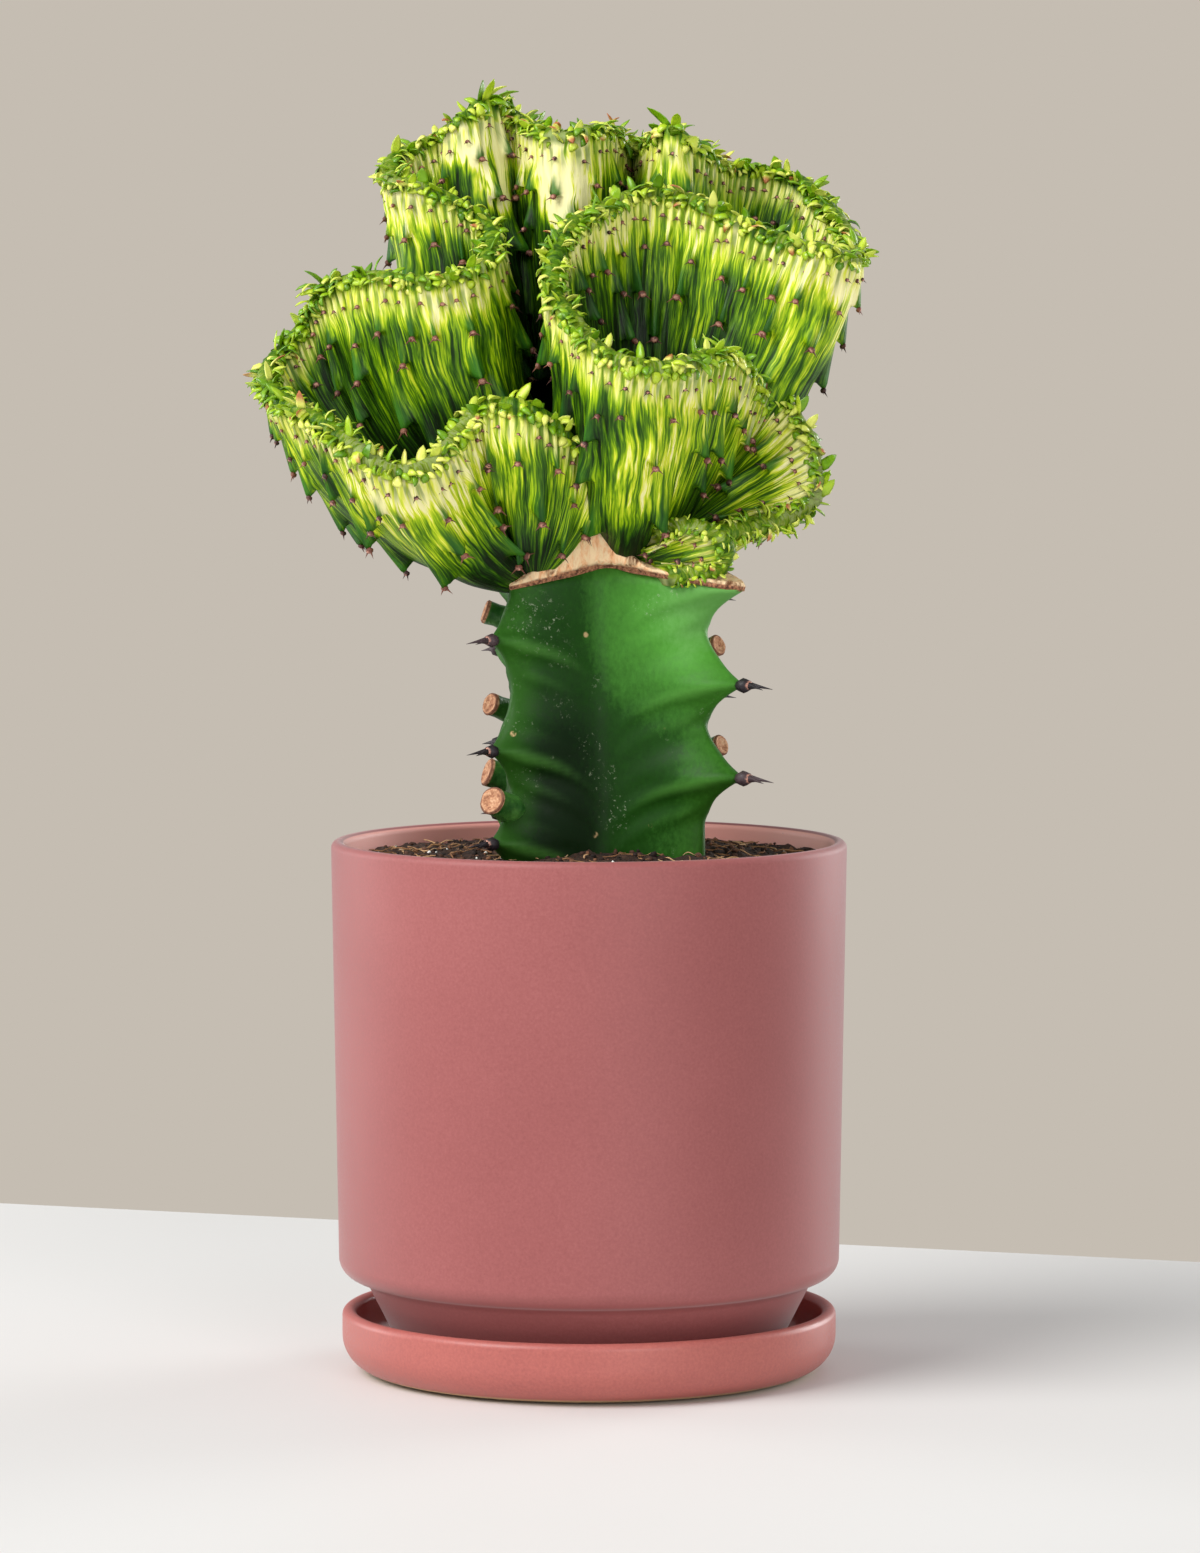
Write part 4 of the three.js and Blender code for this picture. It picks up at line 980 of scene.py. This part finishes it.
def fibres(material):
    """Thin strands of coir among the bits."""
    random = np.random.default_rng(FIBRES.seed)
    turn = turns(5)[:, None]
    bodies, facts = [], []
    for x, y in open_spots(random, FIBRES.count, FIBRES.area, FIBRES.reach, STOCK.ridge - 8):
        way = random.uniform(0, 2 * math.pi)
        length, radius = random.uniform(*FIBRES.length), random.uniform(*FIBRES.radius)
        bow = random.uniform(-1, 1)
        ahead = np.array([math.cos(way), math.sin(way), 0])
        side = np.array([-math.sin(way), math.cos(way), 0])
        rings = []
        for share in np.linspace(-0.5, 0.5, 6):
            centre = [x, y, 0] + (ahead + side * bow * share) * length * share
            centre[2] = soil_height(*centre[:2]) + radius + FIBRES.lift
            thin = radius * (1 - 1.2 * abs(share))
            rings.append(centre + thin * (np.cos(turn) * side + np.sin(turn) * [0, 0, 1]))
        points, triangles = lofted(rings)
        bodies.append(points)
        facts.append(np.full((len(points), 3), random.random()))
    scattered("fibres", bodies, triangles, material, "potting_mix", facts)


# Materials

def tint(red, green, blue):
    """A shader colour from a colour as a screen shows it, 0 to 255."""
    shares = [value / 255 for value in (red, green, blue)]
    return (*(s / 12.92 if s <= 0.04045 else ((s + 0.055) / 1.055) ** 2.4 for s in shares), 1.0)


class Finish:
    """A material in the making, with short calls for its nodes."""

    def __init__(self, name):
        self.material = bpy.data.materials.new(name)
        self.material.use_nodes = True
        self.tree = self.material.node_tree
        self.shader = self.tree.nodes["Principled BSDF"]
        self.place = self.node("TexCoord").outputs["Object"]

    def feed(self, socket, value):
        """Link or set an input. A colour is given as a screen shows it, 0 to 255."""
        if isinstance(value, bpy.types.NodeSocket):
            self.tree.links.new(value, socket)
        else:
            socket.default_value = tint(*value) if isinstance(value, tuple) else value

    def node(self, kind, settings=None, **inputs):
        made = self.tree.nodes.new("ShaderNode" + kind)
        for key, value in (settings or {}).items():
            setattr(made, key, value)
        for key, value in inputs.items():
            self.feed(made.inputs[key.replace("_", " ")], value)
        return made

    def fact(self, name, output="Vector"):
        return self.node("Attribute", dict(attribute_name=name)).outputs[output]

    def axes(self, vector):
        return self.node("SeparateXYZ", Vector=vector).outputs

    def vector(self, x, y, z):
        return self.node("CombineXYZ", X=x, Y=y, Z=z).outputs[0]

    def math(self, operation, *values):
        made = self.node("Math", dict(operation=operation))
        for socket, value in zip(made.inputs, values):
            self.feed(socket, value)
        return made.outputs[0]

    def add(self, *values):
        return reduce(lambda first, second: self.math("ADD", first, second), values)

    def times(self, *values):
        return reduce(lambda first, second: self.math("MULTIPLY", first, second), values)

    def blend(self, first, first_weight, second, second_weight):
        return self.add(self.times(first, first_weight), self.times(second, second_weight))

    def band(self, value, low, high, start=0.0, end=1.0):
        """Value carried from low..high to start..end, eased and held at both ends."""
        made = self.node("MapRange", dict(interpolation_type="SMOOTHSTEP"), Value=value,
                         From_Min=low, From_Max=high, To_Min=start, To_Max=end)
        return made.outputs["Result"]

    def noise(self, scale, detail=2.0, roughness=0.5, distortion=0.0, at=None):
        made = self.node("TexNoise", Vector=self.place if at is None else at, Scale=scale, Detail=detail,
                         Roughness=roughness, Distortion=distortion)
        return made.outputs[0]

    def cells(self, scale):
        return self.node("TexVoronoi", Vector=self.place, Scale=scale).outputs["Distance"]

    def distance(self, spot):
        """How far a place is from a spot given in millimetres."""
        away = self.node("VectorMath", dict(operation="DISTANCE"))
        self.feed(away.inputs[0], self.place)
        away.inputs[1].default_value = np.array(spot) * MM
        return away.outputs["Value"]

    def near(self, spots):
        """One at the middle of each spot, falling off to nothing around them all."""
        patches = [self.band(self.distance(middle), reach * MM, 0.4 * reach * MM) for middle, reach in spots]
        return reduce(lambda first, second: self.math("MAXIMUM", first, second), patches)

    def ramp(self, value, places, colours):
        made = self.node("ValToRGB", Fac=value)
        row = made.color_ramp.elements
        while len(row) < len(places):
            row.new(0.5)
        for element, place, colour in zip(row, places, colours):
            element.position = place
            element.color = tint(*colour)
        return made.outputs["Color"]

    def mix(self, factor, first, second):
        made = self.node("Mix", dict(data_type="RGBA"))
        for index, value in ((0, factor), (6, first), (7, second)):
            self.feed(made.inputs[index], value)
        return made.outputs[2]

    def bump(self, height, strength, distance, under=None):
        made = self.node("Bump", Height=height, Strength=strength, Distance=distance * MM)
        if under is not None:
            self.feed(made.inputs["Normal"], under)
        return made.outputs["Normal"]

    def done(self, colour, roughness, **inputs):
        for key, value in dict(Base_Color=colour, Roughness=roughness, **inputs).items():
            self.feed(self.shader.inputs[key.replace("_", " ")], value)
        return self.material


def crest_skin():
    """Variegated skin: streaks along the flow, creamy near the rim, darker deep in the folds, partly painted
    shade.
    """
    f = Finish("crest_skin")
    along, below, side = f.axes(f.fact("flow"))
    lane = f.add(along, f.times(f.noise(70.0), 0.35))
    streak = f.noise(1.0, 3.0, 0.62, 0.5, at=f.vector(f.times(lane, 5.6), f.times(below, 0.55), side))
    fine = f.noise(1.0, 3.0, 0.6, 0.4, at=f.vector(f.times(lane, 15.0), f.times(below, 1.1), side))
    # the two bands of depth below the rim darken the folds: partly the skin's own darker green, partly
    # painted shade
    green = f.add(f.band(streak, 0.3, 0.7, 0.0, 0.4), f.band(fine, 0.32, 0.68, 0.0, 0.4),
                  f.band(below, 0.6, 1.7, -0.03, 0.31), f.band(below, 2.2, 5.6, 0.0, 0.36),
                  f.band(f.noise(30.0), 0.36, 0.64, 0.14, -0.12))
    pale = f.times(f.near(PATCHES), f.band(streak, 0.72, 0.5), -0.8)
    # painted light: the folds listed in the light spots are made paler
    green = f.add(green, pale, f.times(f.near(PAINTED_LIGHT_FOLDS), -0.32))
    colour = f.ramp(green, (0.04, 0.2, 0.38, 0.56, 0.78, 1.0), (CREAM, PALE, LIME, MIDGREEN, DEEP, SHADE))
    pleat = f.math("COSINE", f.times(along, 2 * math.pi / (PLEAT * MM * CENTIMETRES)))
    ridge = f.band(f.add(pleat, f.times(fine, 2.4)), 0.3, 2.2)
    depth = f.add(below, f.times(streak, 1.2))
    near = f.times(f.band(below, 0.15, 0.4), f.band(depth, 1.6, 0.95))
    two = (0.35, 0.65)
    pleats = f.times(near, f.band(ridge, 0.1, 0.8, 0.2, 0.95))
    colour = f.mix(pleats, colour, f.ramp(fine, two, (CREAM, PALE)))
    colour = f.mix(f.times(near, f.band(ridge, 0.5, 0.0, 0.0, 0.7)), colour, MIDGREEN)
    colour = f.mix(f.band(below, 0.3, 0.05, 0.0, 0.8), colour, f.ramp(streak, two, (MIDGREEN, DEEP)))
    tip = f.times(f.fact("tip", "Fac"), f.band(fine, 0.25, 0.7, 0.8, 1.3))
    colour = f.mix(f.band(tip, 0.2, 0.7, 0.0, 0.94), colour, f.ramp(streak, two, (TIP_GREEN, TIP_SHADE)))
    bump = f.bump(fine, 0.4, 0.35, f.bump(streak, 0.5, 0.9))
    bump = f.bump(f.noise(900.0), 0.12, 0.2, bump)
    return f.done(colour, f.band(fine, 0.2, 0.8, 0.38, 0.55), Normal=bump, Specular_IOR_Level=0.22)


def leaflet_skin():
    """Each leaflet of its own green, darker at its root and tip, and a few with a dry tip."""
    f = Finish("leaflet_skin")
    share, tone, _ = f.axes(f.fact("grain"))
    mottle = f.noise(420.0)
    colour = f.ramp(f.blend(tone, 0.75, mottle, 0.3), (0.12, 0.36, 0.62, 0.86),
                    ((78, 128, 8), (130, 178, 16), (192, 216, 48), (240, 242, 120)))
    colour = f.mix(f.band(share, 0.24, 0.04, 0.0, 0.6), colour, (66, 96, 10))
    colour = f.mix(f.band(share, 0.75, 1.0, 0.0, 0.3), colour, (88, 124, 22))
    dry = f.times(f.band(tone, 0.955, 0.965), f.band(share, 0.3, 0.8))
    colour = f.mix(dry, colour, (186, 112, 66))
    return f.done(colour, f.band(mottle, 0.2, 0.8, 0.25, 0.42), Normal=f.bump(mottle, 0.2, 0.3),
                  Specular_IOR_Level=0.55)


def spine_horn(name, colours, worn_from=0.4):
    """Dry horn, paler where its shield has worn."""
    f = Finish(name)
    share, tone, _ = f.axes(f.fact("grain"))
    mottle = f.noise(1500.0, 3.0, 0.6)
    colour = f.ramp(f.blend(tone, 0.5, mottle, 0.5), (0.25, 0.5, 0.8), colours)
    worn = f.times(f.band(share, worn_from, 1.0), f.band(mottle, 0.35, 0.6))
    colour = f.mix(worn, colour, (206, 148, 128))
    return f.done(colour, f.band(mottle, 0.3, 0.7, 0.45, 0.7), Normal=f.bump(mottle, 0.4, 0.2))


def stem_skin():
    """Deep green; painted light on folds, ridges, top and right, painted shade down the middle; worn patches,
    tan spots.
    """
    f = Finish("stem_skin")
    share, fold, _ = f.axes(f.fact("ridge"))
    x, y, z = f.axes(f.place)
    broad = f.noise(26.0, 2.0, 0.45)
    fine = f.noise(900.0, 3.0, 0.6, at=f.vector(x, y, f.times(z, 0.7)))
    # painted light: lighter towards the upper right
    corner = f.times(f.band(x, 0.004, 0.03), f.band(z, 0.16, 0.2, 0.0, 0.16))
    # painted shade: darker in an upright band near the middle of the front
    middle = f.band(f.math("ABSOLUTE", f.add(x, 0.005)), 0.013, 0.001, 0.0, -0.09)
    # painted light: the tone rises towards the top and towards the right
    tone = f.add(f.blend(broad, 0.46, fine, 0.12), f.band(z, 0.128, 0.2, -0.04, 0.12),
                 f.band(x, -0.02, 0.03, -0.06, 0.12), corner, middle)
    colour = f.ramp(tone, (0.2, 0.38, 0.58, 0.72),
                    ((8, 34, 5), (26, 70, 12), (78, 148, 52), (112, 172, 92)))
    # painted highlight: lighter along the folds
    colour = f.mix(f.band(fold, 0.2, 1.0, 0.0, 0.55), colour, (92, 156, 66))
    # painted highlight: lighter along the ridges
    colour = f.mix(f.band(share, 0.6, 0.95, 0.0, 0.3), colour, (64, 124, 34))
    worn = f.math("MAXIMUM", f.band(f.noise(60.0, 3.0), 0.58, 0.7, 0.0, 0.6), f.near(SCRATCHES))
    specks = f.band(f.noise(900.0, 4.0, 0.75), 0.58, 0.68)
    colour = f.mix(f.times(worn, specks, 0.7), colour, (176, 190, 158))
    tan_spot = f.times(f.band(f.cells(95.0), 0.09, 0.045), f.band(fine, 0.4, 0.6))
    colour = f.mix(tan_spot, colour, (190, 162, 116))
    bump = f.bump(fine, 0.08, 0.3, f.bump(broad, 0.1, 1.0))
    return f.done(colour, f.band(fine, 0.3, 0.7, 0.42, 0.55), Normal=bump, Specular_IOR_Level=0.14)


def cut_skin():
    """Green side shoots with a corky cut."""
    f = Finish("cut_skin")
    cut, _, _ = f.axes(f.fact("grain"))
    mottle = f.noise(900.0, 4.0, 0.65)
    green = f.ramp(f.noise(300.0), (0.3, 0.7), ((38, 92, 32), (84, 142, 60)))
    cork = f.ramp(mottle, (0.3, 0.48, 0.7), ((120, 74, 52), (186, 132, 98), (226, 184, 146)))
    colour = f.mix(f.band(cut, 0.25, 0.6), green, cork)
    colour = f.mix(f.band(cut, 0.97, 1.0, 0.0, 0.75), colour, (96, 52, 38))
    return f.done(colour, f.band(cut, 0.2, 0.7, 0.4, 0.9), Normal=f.bump(mottle, 0.6, 0.5))


def cork_skin():
    """Pale fibrous callus, rotten brown in patches, painted dark at a gap as painted shade, flaky at its
    lower lip.
    """
    f = Finish("cork_skin")
    x, y, z = f.axes(f.place)
    strands = f.noise(620.0, 4.0, 0.65, 0.5, at=f.vector(x, y, f.times(z, 0.28)))
    colour = f.ramp(strands, (0.28, 0.38, 0.54), ((176, 106, 62), (246, 184, 132), (255, 222, 176)))
    # painted shade: the gap is painted dark brown; the rot patches from the noise are the callus's own colour
    gap = f.band(f.distance(PAINTED_SHADE_GAP), 0.009, 0.003)
    rot_and_gap_shade = f.times(f.band(f.noise(130.0, 3.0, 0.6), 0.56, 0.64), f.band(strands, 0.7, 0.35))
    rot_and_gap_shade = f.math("MAXIMUM", rot_and_gap_shade, f.times(gap, f.band(strands, 0.62, 0.45)))
    colour = f.mix(rot_and_gap_shade, colour, (96, 56, 20))
    lip = f.band(f.axes(f.fact("grain"))[0], 0.5, 0.05)
    flakes = f.noise(1500.0, 3.0, 0.6)
    colour = f.mix(lip, colour, f.ramp(flakes, (0.36, 0.62), ((84, 46, 30), (186, 128, 92))))
    return f.done(colour, f.band(strands, 0.3, 0.7, 0.75, 0.95), Normal=f.bump(strands, 0.9, 1.2))


def ceramic(name, colours, speckle, sheen=0.0, rough=0.46):
    """A matte glaze: faint mottling, a fine grain, painted light inside near the rim and bare clay on the
    very bottom edge.
    """
    f = Finish(name)
    x, y, z = f.axes(f.place)
    cloud = f.noise(16.0, 3.0)
    grain = f.noise(1400.0, 3.0, 0.6)
    colour = f.ramp(f.blend(cloud, 0.4, grain, 0.6), (0.3, 0.5, 0.7), colours)
    radius = f.math("SQRT", f.add(f.times(x, x), f.times(y, y)))
    # painted light: the inside of the pot near its rim is made lighter
    painted_light = f.times(f.band(radius, *PAINTED_LIGHT_INSIDE.radius), f.band(z, *PAINTED_LIGHT_INSIDE.height))
    colour = f.mix(painted_light, colour, (250, 174, 164))
    dots = f.times(f.band(f.cells(260.0), 0.07, 0.03), 0.35)
    colour = f.mix(dots, colour, speckle)
    bare = f.band(f.add(z, f.times(cloud, 0.0004)), *BARE_CLAY)
    colour = f.mix(bare, colour, (204, 170, 128))
    bump = f.bump(f.noise(90.0), 0.1, 0.4, f.bump(grain, 0.12, 0.12))
    return f.done(colour, f.band(grain, 0.3, 0.7, rough, rough + 0.14), Normal=bump, Specular_IOR_Level=0.4,
                  Sheen_Weight=sheen, Sheen_Roughness=0.35)


def mix_skin():
    f = Finish("mix_skin")
    mottle = f.noise(1100.0, 4.0, 0.7)
    clump = f.noise(260.0, 3.0, 0.6)
    colour = f.ramp(f.blend(mottle, 0.6, clump, 0.4), (0.34, 0.5, 0.66),
                    ((24, 14, 9), (52, 32, 21), (90, 60, 42)))
    return f.done(colour, f.band(mottle, 0.3, 0.7, 0.85, 1.0), Normal=f.bump(mottle, 0.8, 0.8))


def bit_skin(name, *colours):
    """Bits of the mix, each of its own tone."""
    f = Finish(name)
    tone, _, _ = f.axes(f.fact("grain"))
    mottle = f.noise(900.0, 3.0, 0.65)
    colour = f.ramp(f.blend(tone, 0.7, mottle, 0.4), (0.2, 0.45, 0.7, 0.9), colours)
    return f.done(colour, f.band(mottle, 0.3, 0.7, 0.75, 1.0), Normal=f.bump(mottle, 0.6, 0.4))


def floor_paint():
    f = Finish("floor_paint")
    cloud = f.noise(3.0)
    colour = f.ramp(cloud, (0.3, 0.7), ((221, 220, 217), (225, 224, 222)))
    return f.done(colour, f.band(cloud, 0.3, 0.7, 0.55, 0.6))


# Stage: floor, light and camera

def floor(material):
    mesh = bpy.data.meshes.new("floor")
    mesh.from_pydata(FLOOR, [], [(0, 1, 2, 3)])
    mesh.materials.append(material)
    made = shown("floor", mesh)


def aimed(made, place, target):
    made.location = place
    made.rotation_euler = (Vector(target) - Vector(place)).to_track_quat("-Z", "Y").to_euler()


def studio():
    """A pale backdrop that lights the plant softly, a large key light and two strips at the sides."""
    scene = bpy.context.scene
    scene.view_settings.view_transform = "Standard"
    world = bpy.data.worlds.new("studio")
    world.use_nodes = True
    nodes, links = world.node_tree.nodes, world.node_tree.links
    backdrop = nodes["Background"]
    backdrop.inputs["Color"].default_value = tint(*BACKDROP)
    glow = nodes.new("ShaderNodeBackground")
    glow.inputs["Color"].default_value = tint(*ROOM_LIGHT)
    glow.inputs["Strength"].default_value = ROOM_STRENGTH
    seen = nodes.new("ShaderNodeLightPath")
    choice = nodes.new("ShaderNodeMixShader")
    links.new(seen.outputs["Is Camera Ray"], choice.inputs[0])
    links.new(glow.outputs[0], choice.inputs[1])
    links.new(backdrop.outputs[0], choice.inputs[2])
    links.new(choice.outputs[0], nodes["World Output"].inputs["Surface"])
    scene.world = world
    for name, (place, size, power) in LAMPS.items():
        light = bpy.data.lights.new(name, "AREA")
        light.shape = "DISK"
        light.size = size
        light.energy = power
        light.color = LAMP_COLOUR
        aimed(shown(name, light), place, LAMP_TARGET)


def camera():
    """A lens at the photograph's place that frames what the photograph frames."""
    lens = bpy.data.cameras.new("camera")
    lens.sensor_width = SENSOR
    lens.lens = SENSOR * (TARGET - CAMERA).length / (IMAGE_HEIGHT * PHOTO_SCALE)
    lens.clip_end = 50
    made = shown("camera", lens)
    aimed(made, CAMERA, TARGET)
    bpy.context.scene.camera = made


camera()
studio()
floor(floor_paint())

saucer(ceramic("saucer_glaze", SAUCER_ROSE, (150, 84, 80), rough=0.32))
pot(ceramic("pot_glaze", ROSE, (138, 78, 76), sheen=0.3))

bark = bit_skin("bark", (22, 12, 7), (46, 26, 16), (78, 48, 32), (126, 84, 58))
perlite = bit_skin("perlite", (206, 200, 188), (226, 222, 212), (240, 238, 232), (248, 246, 242))
coir = bit_skin("coir", (120, 82, 52), (160, 116, 76), (196, 152, 108), (214, 176, 132))
soil(mix_skin())
crumbs("bark_bits", bark, **BARK)
crumbs("perlite_bits", perlite, **PERLITE)
fibres(coir)

rootstock(stem_skin())
stem_thorns(spine_horn("stem_horn", [(22, 16, 22), (40, 28, 36), (74, 56, 60)], worn_from=0.75))
cut_stubs(cut_skin())
graft_callus(cork_skin())
crest_horn = spine_horn("crest_horn", [(50, 22, 20), (90, 46, 36), (134, 80, 60)])
crest(dict(skin=crest_skin(), leaflet=leaflet_skin(), spine=crest_horn))
